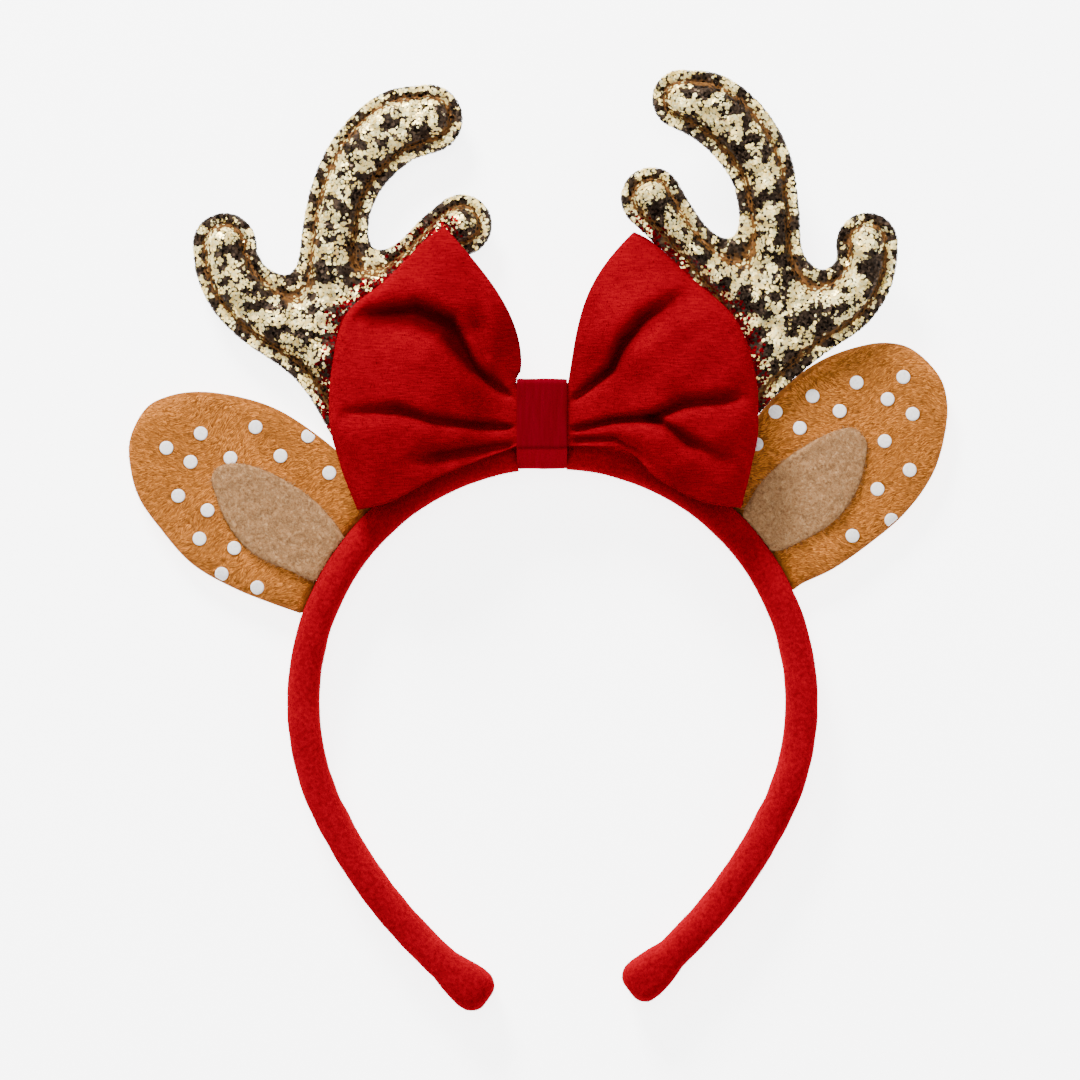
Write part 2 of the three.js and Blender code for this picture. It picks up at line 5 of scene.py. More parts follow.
import bpy
import numpy as np
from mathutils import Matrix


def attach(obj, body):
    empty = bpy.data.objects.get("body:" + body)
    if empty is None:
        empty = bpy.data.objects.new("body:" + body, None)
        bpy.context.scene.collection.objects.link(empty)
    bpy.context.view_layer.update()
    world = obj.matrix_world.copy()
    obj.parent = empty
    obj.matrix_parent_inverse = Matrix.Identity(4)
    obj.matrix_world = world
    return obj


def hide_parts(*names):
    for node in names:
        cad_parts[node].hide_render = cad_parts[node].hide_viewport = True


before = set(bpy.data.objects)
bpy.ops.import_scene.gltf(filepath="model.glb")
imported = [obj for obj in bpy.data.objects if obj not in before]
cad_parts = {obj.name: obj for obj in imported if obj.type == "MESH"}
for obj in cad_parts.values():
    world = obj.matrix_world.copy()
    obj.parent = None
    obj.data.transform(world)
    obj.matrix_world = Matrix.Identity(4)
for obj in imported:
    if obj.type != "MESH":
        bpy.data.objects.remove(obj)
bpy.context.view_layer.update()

# All sizes are in millimetres, and a mesh is turned into metres when it is made
MM = 0.001
rng = np.random.default_rng(11)

# Camera, straight above
CAMERA_HEIGHT = 1200
VIEW_WIDTH = 254.2
VIEW_CENTRE = (-2.94, -20.5)
VIEW_LEVEL = 8
SENSOR = 36
CLIP_START = 0.01

# Headband
BAND_RADIUS = 58.7
ROUND_ANGLE = math.radians(116)
ARM_RADIUS = 118
ARM_ANGLE = {-1: math.radians(28.5), 1: math.radians(26.8)}
BAND_THICKNESS = 7.4
BAND_DEPTH = 12
BAND_CORNER = 3.1
TIP_LENGTH = 13
TIP_THICKNESS = 10.2
TIP_DOME = 4.2
TIP_END_SHARE = 0.35
FLARE_SHARE = 0.72
DOME_ANGLES = (20, 35, 50, 62, 72, 80, 86)
DOME_LAST = -0.4
BAND_SOFTNESS = 0.05
BAND_WAVE = 9
OUTER_RADIUS = BAND_RADIUS + BAND_THICKNESS / 2

# Ribbon round the bow's waist
RIBBON_WIDTH = 11.8
RIBBON_THICKNESS = 0.7
RIBBON_CORNER = 1.4
RIBBON_GATHER = 0.05
RIBBON_CREASE = 0.015
RIBBON_EDGE_DROP = 0.18
RIBBON_EDGE_FROM = 0.85
FIT_GAP = 0.3
SNUG_GAP = 0.06
NOTCH = RIBBON_THICKNESS + FIT_GAP

# Bow
BOW_SHIFT = -2.5
WAIST_HEIGHT = 8.8
WAIST_LEVEL = 15
WAIST_HALF = 7.4
WAIST_DEPTH = 2.7
BOW_REACH = 50
BOW_RISE = 45
BOW_WALL = 1.8
LOBE_CLEAR = 0.15
FRONT_PUFF = 9.5
BACK_PUFF = 4.0
EDGE_PUFF_SHARE = 0.62
LOBE_LIFT = 2.4
LIFT_RUN = 0.45
PUFF_RUN = 0.55
UPPER_FROM = -0.2
EDGE_OVER_RIBBON = 2.1
EDGE_OVER_RUN = 3.5
CORNER_FROM = 0.88
CORNER_DRAW = 1.5
PILE_LEVEL = 0.5
# Painted shade in the bow's folds: the most it darkens, and the fold depth where it starts and over which it
# grows
FOLD_PAINTED_SHADE = 0.7
FOLD_PAINTED_SHADE_FROM = 1.5
FOLD_PAINTED_SHADE_RUN = 3.2
FOLD_POINT = 0.35
FOLD_TAIL = 0.25
FOLD_START_RUN = 0.06
FOLD_END_RUN = 0.07
FOLD_DEEPEST = 0.86
FOLD_ON_BACK = 0.3
CREASE_HEIGHT = 0.22
CREASE_SIZE = 11
INNER_LEAST = 0.1

# Antlers
ANTLER_HEIGHT = 92
TINE_WIDTH = 15
ANTLER_RIM = 2.5
ANTLER_RIM_THICKNESS = 1.6
ANTLER_THICKNESS = 8
ANTLER_BLEND = 10
ANTLER_ANGLE = {-1: math.radians(33.5), 1: math.radians(25.5)}
ANTLER_LEVEL = {-1: 6, 1: 7.2}
ANTLER_LEAN = {-1: 0, 1: math.radians(5.5)}
ANTLER_MIDDLE = (0.17, 0.45)
ANTLER_GRID = 0.62
ANTLER_LUMP = (0.28, 9)
ANTLER_DENT = (0.12, 4)
ANTLER_BULGE = 0.25
SEAM_FROM_BEAM = 4.5
STITCH_PITCH = 3.0
STITCH_LENGTH = 2.8
STITCH_LIFT = 0.32
STITCH_DIP = 0.55
THREAD_RADIUS = 0.38
THREAD_TWIST = 10
PLY_DEPTH = 0.16
GROOVE_DEPTH = 0.7
GROOVE_WIDTH = 0.85
SEAM_CLEAR = 0.85
SEAM_BROWN = 1.1
# Painted reflection of the bow in the flakes: how far from its edge, and at most what share of them, are
# painted red
BOW_REFLECTION_REACH = 5.5
BOW_REFLECTION_SHARE = 0.85
FLAKE_RADIUS = (0.33, 0.42)
FLAKE_LIFT = (0.06, 0.24)
FLAKES_ON_SEAM = 0.25
TIP_SIZE = 5
TIP_HEIGHT = 0.08
TIP_SPREAD = 0.07
# Painted glint on the flakes: facing the light from this direction, with patches and random spread, a flake
# is painted pale gold, otherwise dark
PAINTED_GLINT_FROM = (-0.45, 0.35, 0.82)
PAINTED_GLINT_GAIN = 2.4
PAINTED_GLINT_LEVEL = 1.6
PAINTED_GLINT_SPREAD = 0.38
PAINTED_GLINT_PATCHES = ((0.7, 9, 71), (0.65, 3.4, 81))
PAINTED_GLINT_EDGE = 0.06

# Ears and the felt leaves on them
EAR_LENGTH = 57
EAR_WIDTH = 41
EAR_THICKNESS = 4.4
EAR_RIM_THICKNESS = 1.8
EAR_LEVEL = 4
EAR_ANGLE = {-1: math.radians(55), 1: math.radians(53.5)}
EAR_RISE = {-1: math.radians(28), 1: math.radians(45.8)}
EAR_TUCK = 1.2
EAR_MIDDLE = 0.45
EAR_GRID = 0.75
EAR_BULGE = 0.3
EAR_SHOULDER = EAR_WIDTH * 0.125
FELT_LENGTH = 35
FELT_WIDTH = 18.5
FELT_THICKNESS = 1.2
FELT_GRID = 0.62
FELT_BULGE = 0.12
FELT_ROUGHNESS = (0.06, 3)
FELT_EDGE_DROP = 0.25
FELT_EDGE_RUN = 0.7
SPOT_RADIUS = 1.62
PILE_FROM_EDGE = 0.5

# Loose fibres: length, width and rise, each a value or a range
VELVET_FIBRE_WIDTH = 0.07
BOW_FIBRE_LENGTH = 0.7
BAND_FIBRE_LENGTH = 0.5
PLUSH_FIBRE = {"length": (0.8, 1.6), "width": 0.17, "rise": (0.06, 0.26)}
FELT_FIBRE = {"length": (0.6, 1.8), "width": 0.09, "rise": 0.1}
FIBRE_SINK = 0.05

SIDE_NAME = {-1: "left", 1: "right"}
PAINT_LAYER = "shade"

# Lobe outlines. v runs across the strip, out and up are shares of the bow's reach and rise at the fold,
# and low is how far the lower edge swells up along u
LOBES = {
    -1: {
        "v": [-1, -0.5, 0, 0.25, 0.5, 0.75, 1],
        "out": [0.87, 0.946, 0.995, 0.98, 0.915, 0.71, 0.475],
        "up": [-0.47, -0.245, 0.03, 0.25, 0.52, 0.72, 1.0],
        "lift_v": [-1, 0.5, 1],
        "lift": [1, 1, 0.6],
        "belly": 0.11,
        "belly_place": 0.68,
        "low_u": [0, 0.5, 0.85, 1],
        "low": [0, -0.5, -2.0, -1.2],
    },
    1: {
        "v": [-1, -0.5, 0, 0.25, 0.5, 0.75, 1],
        "out": [0.93, 0.976, 1.01, 0.995, 0.9, 0.675, 0.455],
        "up": [-0.485, -0.275, -0.02, 0.22, 0.5, 0.735, 0.985],
        "lift_v": [-1, 0.55, 0.8, 1],
        "lift": [1.5, 1.5, 0.1, -2.8],
        "belly": 0.085,
        "belly_place": 1.1,
        "low_u": [0, 0.14, 0.27, 0.38, 0.47, 0.6, 0.8, 1],
        "low": [0, 2.2, 3.5, 2.8, 0.6, -0.8, -1.6, 0],
    },
}

# Folds that run out of the waist, each a line of places out and up from the waist's centre,
# with its depth and its width there
FOLDS = {
    -1: [
        {
            "out": [7.5, 9.2, 15.7, 19.0, 21.9, 29.4, 39.8, 45.0],
            "up": [4.6, 5.8, 10.7, 16.1, 21.1, 24.2, 23.2, 22.0],
            "depth": [1.5, 3.0, 5.2, 6.2, 6.4, 5.4, 4.0, 0.8],
            "width": [0.8, 0.9, 1.3, 2.1, 3.0, 3.4, 3.2, 2.4],
        },
        {
            "out": [13.0, 15.0, 16.5],
            "up": [14.0, 20.4, 26.0],
            "depth": [1.4, 2.8, 0.4],
            "width": [1.6, 2.4, 2.6],
        },
        {
            "out": [7.0, 16.0, 26.8, 33.6, 45.4],
            "up": [-2.9, -2.2, -1.0, 1.1, 0.4],
            "depth": [2.6, 3.6, 3.2, 3.6, 1.2],
            "width": [0.7, 0.9, 1.1, 1.3, 1.4],
        },
        {
            "out": [7.0, 16.9, 24.7, 31.5],
            "up": [-7.0, -8.2, -9.7, -10.9],
            "depth": [2.0, 3.2, 3.4, 0.3],
            "width": [0.9, 1.2, 1.8, 2.4],
        },
    ],
    1: [
        {
            "out": [7.2, 9.0, 16.0, 18.9, 23.8, 31.6, 36.0],
            "up": [3.6, 5.1, 10.7, 16.9, 22.5, 27.2, 28.4],
            "depth": [1.6, 2.8, 4.6, 5.0, 4.2, 2.4, 0.2],
            "width": [0.8, 0.9, 1.2, 1.6, 1.9, 2.0, 2.0],
        },
        {
            "out": [7.0, 16.7, 25.7, 32.7, 43.1, 47.0],
            "up": [-3.4, -1.3, -0.6, 2.5, 3.9, 4.0],
            "depth": [2.6, 3.6, 4.2, 4.0, 3.2, 0.8],
            "width": [0.7, 0.9, 1.1, 1.3, 1.4, 1.4],
        },
        {
            "out": [25.7, 30.0, 34.2, 43.1],
            "up": [-0.6, -3.4, -6.5, -10.5],
            "depth": [2.4, 3.6, 3.4, 0.5],
            "width": [0.9, 1.1, 1.4, 1.6],
        },
        {
            "out": [7.0, 16.7, 21.7, 26.0],
            "up": [-6.0, -5.6, -8.0, -12.5],
            "depth": [2.0, 2.6, 2.2, 0.4],
            "width": [0.9, 1.2, 1.4, 1.6],
        },
    ],
}

# Shares of a fold's width on its upper and its lower side
FOLD_STEEP = 0.7
FOLD_GENTLE = 1.5

# Antler strokes: along and up from the root as shares of the height, half as a share of the tine width
ANTLER_STROKES = {
    -1: [
        {
            "along": [0.005, 0.089, 0.151, 0.187, 0.192, 0.184, 0.164, 0.112, 0.025, -0.056],
            "up": [0.008, 0.125, 0.248, 0.399, 0.527, 0.637, 0.734, 0.831, 0.908, 0.929],
            "half": [0.5, 0.53, 0.55, 0.53, 0.49, 0.48, 0.48, 0.52, 0.55, 0.51],
        },
        {
            "along": [0.207, 0.302, 0.384, 0.435, 0.46, 0.466],
            "up": [0.348, 0.389, 0.45, 0.504, 0.56, 0.606],
            "half": [0.48, 0.51, 0.53, 0.5, 0.48, 0.47],
        },
        {
            "along": [0.156, 0.092, 0.031, -0.031, -0.087, -0.141],
            "up": [0.399, 0.463, 0.517, 0.573, 0.627, 0.657],
            "half": [0.45, 0.45, 0.39, 0.36, 0.38, 0.45],
        },
    ],
    1: [
        {
            "along": [-0.01, 0.085, 0.177, 0.259, 0.285, 0.267, 0.259, 0.238, 0.187, 0.111, 0.036],
            "up": [-0.034, 0.084, 0.196, 0.309, 0.427, 0.544, 0.652, 0.754, 0.839, 0.905, 0.928],
            "half": [0.5, 0.5, 0.53, 0.55, 0.48, 0.44, 0.44, 0.47, 0.51, 0.51, 0.43],
        },
        {
            "along": [0.285, 0.382, 0.451, 0.494, 0.51, 0.51],
            "up": [0.34, 0.375, 0.414, 0.468, 0.519, 0.562],
            "half": [0.45, 0.5, 0.48, 0.45, 0.44, 0.45],
        },
        {
            "along": [0.244, 0.182, 0.121, 0.064, 0.013, -0.04],
            "up": [0.37, 0.437, 0.493, 0.552, 0.611, 0.677],
            "half": [0.45, 0.45, 0.39, 0.35, 0.38, 0.45],
        },
    ],
}

# Leaf outlines: along the leaf's axis, its upper and lower edge as shares of its width
EAR_ROWS = {
    -1: {
        "along": [-0.1, 0, 0.12, 0.3, 0.5, 0.68, 0.82, 0.91, 0.965],
        "upper": [0.3, 0.375, 0.47, 0.53, 0.55, 0.5, 0.42, 0.325, 0.215],
        "lower": [-0.4, -0.41, -0.435, -0.462, -0.452, -0.36, -0.26, -0.13, 0.01],
    },
    1: {
        "along": [-0.1, 0, 0.12, 0.3, 0.5, 0.7, 0.86, 0.95, 1.0],
        "upper": [0.28, 0.32, 0.4, 0.52, 0.548, 0.505, 0.4, 0.3, 0.18],
        "lower": [-0.26, -0.307, -0.37, -0.42, -0.445, -0.4, -0.28, -0.17, -0.04],
    },
}
FELT_ROWS = {
    -1: {
        "along": [-0.05, 0.22, 0.5, 0.74, 0.9, 0.96],
        "upper": [0.1, 0.39, 0.475, 0.45, 0.34, 0.22],
        "lower": [-0.4, -0.5, -0.515, -0.32, -0.06, 0.06],
    },
    1: {
        "along": [0.0, 0.2, 0.45, 0.68, 0.88, 0.97],
        "upper": [0.4, 0.56, 0.58, 0.5, 0.36, 0.23],
        "lower": [-0.1, -0.3, -0.41, -0.35, -0.15, 0],
    },
}

# Centres of the printed spots on the ears
SPOTS = {
    -1: {
        "x": [-91, -82.9, -85.3, -75.9, -70, -64.1, -57.6, -52.6, -88.2, -81.3, -83.2, -75, -78, -69.6],
        "y": [1.2, 4.6, -2.1, -1.2, 6.1, -0.7, 4, -4.7, -10.1, -13.5, -20.2, -22.4, -28.5, -31.7],
    },
    1: {
        "x": [52.6, 61.3, 71.7, 82.7, 67.7, 79.0, 84.9, 58.3, 48.1, 78.3, 84.2, 76.6, 79.9, 70.7],
        "y": [9.7, 13.4, 16.6, 17.9, 9.9, 12.7, 9.2, 5.9, 2.1, 2.8, -4.0, -8.5, -15.8, -19.5],
    },
}

# Section of a printed spot: shares of its radius, and heights over the ear
SPOT_PROFILE = {
    "reach": [0.02, 0.5, 0.86, 0.97, 1.0, 0.97, 0.02],
    "height": [0.34, 0.34, 0.32, 0.26, 0.12, -0.3, -0.3],
}
SPOT_FROM_EDGE = 0.15

# Base colours, linear
VELVET_RED = (0.17, 0.0, 0.004)
# Painted light: the headband's copy of the velvet is this many times brighter than the bow's
HOOP_PAINTED_LIGHT = 1.3
SATIN_RED = (0.1, 0.0, 0.003)
PLUSH_TAN = (0.49, 0.16, 0.023)
PLUSH_LIGHT = (0.04, 0.02, 0.004)
FELT_TAUPE = (0.32, 0.165, 0.07)
GLITTER_DARK = (0.025, 0.015, 0.009)
# Colours of the flakes' painted glint: dark where a flake faces away from the light, deep to pale gold where
# it faces it
FLAKE_DARK = (0.014, 0.009, 0.006)
FLAKE_DEEP_GOLD = (1.0, 0.68, 0.16)
FLAKE_PALE_GOLD = (1.0, 0.9, 0.46)
GROOVE_BROWN = (0.17, 0.07, 0.016)
THREAD_BROWN = (0.16, 0.06, 0.012)
PRINT_WHITE = (0.9, 0.87, 0.85)
TABLE_PALE = (0.95, 0.95, 0.95)
SKY = (0.9, 0.95, 1.0)

# Brightness of the table and the sky, and the lights with place and size in metres and power in watts
TABLE_GLOW = 5.0
SKY_STRENGTH = 0.25
LIGHT_AIM = (0, 0.01, 0.01)
LIGHTS = [
    {"name": "overhead", "place": (-0.12, 0.24, 1.5), "size": 0.8, "power": 20},
    {"name": "key", "place": (-0.45, 1.2, 0.72), "size": 0.4, "power": 58},
    {"name": "fill", "place": (0.9, -0.7, 0.9), "size": 0.8, "power": 5},
]
TABLE_HALF = 3000
TABLE_LEVEL = -0.05

# Fineness
LINE_SAMPLES = 60
SCATTER_CHUNK = 20000
PLATE_CELL = 0.6
PLATE_WALL_ROWS = 4
FELT_CELL = 0.5
FELT_WALL_ROWS = 3
OUTLINE_DRAWS = 4
BAND_STEP = 1.2
CORNER_STEPS = 6
LOBE_STEPS = 64
STRIP_STEPS = 84
RIBBON_LOOP_STEPS = 220
RIBBON_ACROSS_STEPS = 26
STITCH_STEPS = 8
THREAD_SIDES = 8
SPOT_SIDES = 28
FLAKE_CORNERS = 6
TRACE_STEP = 0.4
TRACE_MOST = 4000
TRACE_DRAWS = 3
TRACE_FIRST_DRAWS = 20

# Counts of loose pieces
BOW_FIBRES = 26000
BAND_FIBRES = 18000
ANTLER_FLAKES = 32000
EAR_FIBRES = 40000
FELT_FIBRES = 9000


def smooth(share):
    """Smooth step from 0 to 1."""
    share = np.clip(share, 0, 1)
    return share * share * (3 - 2 * share)


def cubic(share, start, end, leave, arrive):
    """Cubic from start to end that leaves and arrives with these slopes."""
    square = 3 * (end - start) - 2 * leave - arrive
    cube = 2 * (start - end) + leave + arrive
    return start + leave * share + square * share**2 + cube * share**3


def curve(at, places, values):
    """Smooth curve through the rows of a table: cubics whose slopes come from the rows on either side."""
    places, values = np.array(places, float), np.array(values, float)
    slopes = np.gradient(values, places)
    row = np.clip(np.searchsorted(places, at, side="right") - 1, 0, len(places) - 2)
    step = places[row + 1] - places[row]
    share = np.clip((at - places[row]) / step, 0, 1)
    return cubic(share, values[row], values[row + 1], slopes[row] * step, slopes[row + 1] * step)


def unit(vectors):
    """Vectors of length 1."""
    return vectors / np.maximum(np.linalg.norm(vectors, axis=-1, keepdims=True), 1e-9)


def circle(count):
    """Even angles once round."""
    return np.linspace(0, 2 * math.pi, count, endpoint=False)


def length_along(line):
    """Length of a line up to each of its points."""
    return np.concatenate([[0], np.cumsum(np.linalg.norm(np.diff(line, axis=0), axis=1))])


def ripple(x, y, size, seed, waves=14):
    """Soft random relief: a sum of plane waves of about this size in all directions, about 1 high."""
    draws = np.random.default_rng(seed)
    heading = draws.uniform(0, 2 * math.pi, waves)
    length = size * draws.uniform(0.7, 1.5, waves)
    phase = draws.uniform(0, 2 * math.pi, waves)
    total = np.zeros(np.shape(x))
    for angle, wave, start in zip(heading, length, phase):
        total += np.sin((x * math.cos(angle) + y * math.sin(angle)) * 2 * math.pi / wave + start)
    return total * math.sqrt(2 / waves)


def stand(name, data, place=(0, 0, 0)):
    """New object in the scene, with its origin at a place in metres."""
    made = bpy.data.objects.new(name, data)
    bpy.context.scene.collection.objects.link(made)
    made.location = place
    return made


def piece(name, points, faces, look, flat=False):
    """Mesh piece from points in millimetres and one array of faces, or one for each count of corners."""
    groups = faces if isinstance(faces, list) else [faces]
    sides = np.concatenate([np.full(len(group), group.shape[1]) for group in groups])
    corners = np.concatenate([group.ravel() for group in groups])
    mesh = bpy.data.meshes.new(name)
    mesh.vertices.add(len(points))
    mesh.vertices.foreach_set("co", (np.asarray(points) * MM).astype(np.float32).ravel())
    mesh.loops.add(len(corners))
    mesh.loops.foreach_set("vertex_index", corners.astype(np.int32))
    mesh.polygons.add(len(sides))
    mesh.polygons.foreach_set("loop_start", np.concatenate([[0], np.cumsum(sides)[:-1]]).astype(np.int32))
    mesh.polygons.foreach_set("use_smooth", np.full(len(sides), not flat))
    mesh.update(calc_edges=True)
    mesh.materials.append(look)
    return stand(name, mesh)


def paint(made, colors):
    """Colour of each point of a piece, as an attribute that its material reads."""
    layer = made.data.color_attributes.new(name=PAINT_LAYER, type="FLOAT_COLOR", domain="POINT")
    full = np.ones((len(colors), 4), np.float32)
    full[:, :3] = colors
    layer.data.foreach_set("color", full.ravel())


def ring_faces(rings, size, joined):
    """Squares between rings of equally many points, closed round each ring, and end to end if joined."""
    ring = np.arange(rings if joined else rings - 1)[:, None]
    spot = np.arange(size)[None, :]
    after_ring = (ring + 1) % rings
    after_spot = (spot + 1) % size
    corners = [(ring, spot), (ring, after_spot), (after_ring, after_spot), (after_ring, spot)]
    return np.stack(np.broadcast_arrays(*(a * size + b for a, b in corners)), -1).reshape(-1, 4)


def stacks(count, rings, size, turned, first=0):
    """Faces of equal solids, each a stack of rings with a cap at both ends, turned round where asked."""
    tube = ring_faces(rings, size, False)
    caps = np.array([np.arange(size)[::-1], (rings - 1) * size + np.arange(size)])
    offset = first + np.arange(count)[:, None, None] * rings * size
    groups = (group[:, ::-1] if turned else group for group in (tube, caps))
    return [(offset + group).reshape(-1, group.shape[1]) for group in groups]


def inside_out(points, faces):
    """Whether a closed solid's faces look inwards."""
    a, b, c = (points[faces[:, k]] for k in range(3))
    return np.einsum("ij,ij->i", a, np.cross(b, c)).sum() < 0


def looped(points, rings, size):
    """Faces of a solid whose rings join end to end, looking outwards."""
    faces = ring_faces(rings, size, True)
    return faces[:, ::-1] if inside_out(points, faces) else faces


def scatter(points, faces, count):
    """Evenly spread random places on square faces, and the faces' normals there."""
    a, b, c, d = (points[faces[:, k]] for k in range(4))
    cross = np.cross(c - a, d - b)
    area = np.linalg.norm(cross, axis=1)
    pick = np.searchsorted(np.cumsum(area) / area.sum(), rng.random(count))
    pick = np.minimum(pick, len(faces) - 1)
    s, t = rng.random((2, count, 1))
    spots = (a[pick] * (1 - s) + b[pick] * s) * (1 - t) + (d[pick] * (1 - s) + c[pick] * s) * t
    return spots, unit(cross[pick])


def lying(lean, normals):
    """Directions brought into the surface, of length 1."""
    return unit(lean - normals * np.sum(lean * normals, 1, keepdims=True))


def heading_to(angle, normals):
    """Directions in the surface that head to these angles in plan."""
    return lying(np.stack([np.cos(angle), np.sin(angle), 0 * angle], -1), normals)


def fibres(name, roots, normals, lean, length, width, rise, look, colors):
    """Short lying fibres: each a tapered blade of three triangles along its lean, up by its rise."""
    across = unit(np.cross(normals, lean)) * np.reshape(width, (-1, 1)) / 2
    along = lean * np.reshape(length, (-1, 1))
    up = normals * np.reshape(rise, (-1, 1))
    middle = roots + along * 0.5 + up * 0.7
    tip = roots + along + up
    narrow = across * 0.8
    points = np.stack([roots - across, roots + across, middle - narrow, middle + narrow, tip], 1)
    start = np.arange(len(roots))[:, None, None] * 5
    faces = (start + np.array([[0, 1, 3], [0, 3, 2], [2, 3, 4]])).reshape(-1, 3)
    made = piece(name, points.reshape(-1, 3), faces, look)
    paint(made, np.repeat(colors, 5, axis=0))
    return made


def smooth_line(points, count, closed):
    """Points along a centripetal Catmull-Rom curve through the given ones."""
    spans = len(points) if closed else len(points) - 1
    place = np.linspace(0, spans, count + 1)
    first = np.minimum(place.astype(int), spans - 1)
    if closed:
        before, start, end, after = (points[(first + k) % len(points)] for k in (-1, 0, 1, 2))
    else:
        longer = np.vstack([2 * points[0] - points[1], points, 2 * points[-1] - points[-2]])
        before, start, end, after = (longer[first + k] for k in range(4))
    runs = (start - before, end - start, after - end)
    gap_in, gap, gap_out = (np.sqrt(np.linalg.norm(run, axis=1, keepdims=True)) for run in runs)
    leave = (start - before) / gap_in - (end - before) / (gap_in + gap) + (end - start) / gap
    arrive = (end - start) / gap - (after - start) / (gap + gap_out) + (after - end) / gap_out
    return cubic((place - first)[:, None], start, end, leave * gap, arrive * gap)


def in_chunks(function, x, y):
    """A plan field worked out for long arrays, a stretch at a time."""
    flat_x, flat_y = np.ravel(x), np.ravel(y)
    parts = [
        function(flat_x[i : i + SCATTER_CHUNK], flat_y[i : i + SCATTER_CHUNK])
        for i in range(0, len(flat_x), SCATTER_CHUNK)
    ]
    return np.concatenate(parts).reshape(np.shape(x))


def slope(field, x, y, reach=0.05):
    """Direction in which a field grows, of length 1."""
    gx = field(x + reach, y) - field(x - reach, y)
    gy = field(x, y + reach) - field(x, y - reach)
    size = np.maximum(np.hypot(gx, gy), 1e-9)
    return gx / size, gy / size


# Materials


def new_look(name, base, roughness, **sockets):
    """Material with its shader's constant values set on the sockets."""
    look = bpy.data.materials.new(name)
    look.use_nodes = True
    shader = look.node_tree.nodes["Principled BSDF"]
    shader.inputs["Base Color"].default_value = (*base, 1)
    shader.inputs["Roughness"].default_value = roughness
    for socket, value in sockets.items():
        shader.inputs[socket.replace("_", " ")].default_value = value
    return look, look.node_tree, shader


def painted_look(name, base, roughness, **sockets):
    """Material whose colour is the piece's own attribute."""
    look, tree, shader = new_look(name, base, roughness, **sockets)
    tree.links.new(attribute(tree), shader.inputs["Base Color"])
    return look


def grained_look(name, base, roughness, noise, stops, relief, **sockets):
    """Material whose colour and relief follow one noise; relief is a strength and a height."""
    look, tree, shader = new_look(name, base, roughness, **sockets)
    height = grain(tree, *noise)
    tree.links.new(ramp(tree, height, stops), shader.inputs["Base Color"])
    bump(tree, shader, height, *relief)
    return look


def grain(tree, scale, detail=3, stretch=(1, 1, 1), turn=0):
    """Noise on Object coordinates, stretched and turned in the plan; scale is waves in a metre."""
    place = tree.nodes.new("ShaderNodeTexCoord")
    mapping = tree.nodes.new("ShaderNodeMapping")
    mapping.inputs["Scale"].default_value = stretch
    mapping.inputs["Rotation"].default_value = (0, 0, turn)
    noise = tree.nodes.new("ShaderNodeTexNoise")
    noise.inputs["Scale"].default_value = scale
    noise.inputs["Detail"].default_value = detail
    tree.links.new(place.outputs["Object"], mapping.inputs["Vector"])
    tree.links.new(mapping.outputs["Vector"], noise.inputs["Vector"])
    return noise.outputs["Fac"]


def ramp(tree, value, stops):
    """Colours along a value, from (place, colour) stops."""
    node = tree.nodes.new("ShaderNodeValToRGB")
    bands = node.color_ramp.elements
    while len(bands) < len(stops):
        bands.new(1.0)
    for band, (place, color) in zip(bands, stops):
        band.position = place
        band.color = (*color, 1)
    tree.links.new(value, node.inputs["Fac"])
    return node.outputs["Color"]


def multiply(tree, first, second):
    """Product of two colours."""
    node = tree.nodes.new("ShaderNodeMix")
    node.data_type = "RGBA"
    node.blend_type = "MULTIPLY"
    node.inputs[0].default_value = 1
    tree.links.new(first, node.inputs[6])
    tree.links.new(second, node.inputs[7])
    return node.outputs[2]


def bump(tree, shader, height, strength, distance_mm):
    """Relief from a height value."""
    node = tree.nodes.new("ShaderNodeBump")
    node.inputs["Strength"].default_value = strength
    node.inputs["Distance"].default_value = distance_mm * MM
    tree.links.new(height, node.inputs["Height"])
    tree.links.new(node.outputs["Normal"], shader.inputs["Normal"])


def attribute(tree):
    """The colour that was painted on the piece."""
    node = tree.nodes.new("ShaderNodeVertexColor")
    node.layer_name = PAINT_LAYER
    return node.outputs["Color"]


def grey(*levels):
    """Stops from one grey to another, for a ramp that makes a colour lighter and darker."""
    return [(place, (level, level, level)) for place, level in levels]


def velvet_look(name, stretch, tone, painted_fold_shade):
    """Red velvet: a red sheen, brushed patches and a fine ribbed ground; where asked, painted shade from the
    piece's attribute darkens its folds.
    """
    sheen = {"Sheen_Weight": 0.05, "Sheen_Roughness": 0.35, "Sheen_Tint": (1.0, 0.0, 0.02, 1)}
    look, tree, shader = new_look(name, VELVET_RED, 0.9, Specular_IOR_Level=0, **sheen)
    # The tone brightens a copy of the velvet as painted light; the bow's copy keeps 1
    low, high = (tuple(share * tone * value for value in VELVET_RED) for share in (0.88, 1.09))
    patches = ramp(tree, grain(tree, 90, 3), [(0.3, low), (0.7, high)])
    ribs = grain(tree, 1900, 2, stretch)
    color = multiply(tree, patches, ramp(tree, ribs, grey((0.3, 0.72), (0.7, 1.15))))
    # Painted shade: the piece's attribute darkens the velvet along its folds
    if painted_fold_shade:
        color = multiply(tree, color, attribute(tree))
    tree.links.new(color, shader.inputs["Base Color"])
    bump(tree, shader, ribs, 0.5, 0.25)
    return look


def velvet_pile_look():
    """Loose velvet fibres."""
    return painted_look("velvet_pile", VELVET_RED, 0.9, Specular_IOR_Level=0)


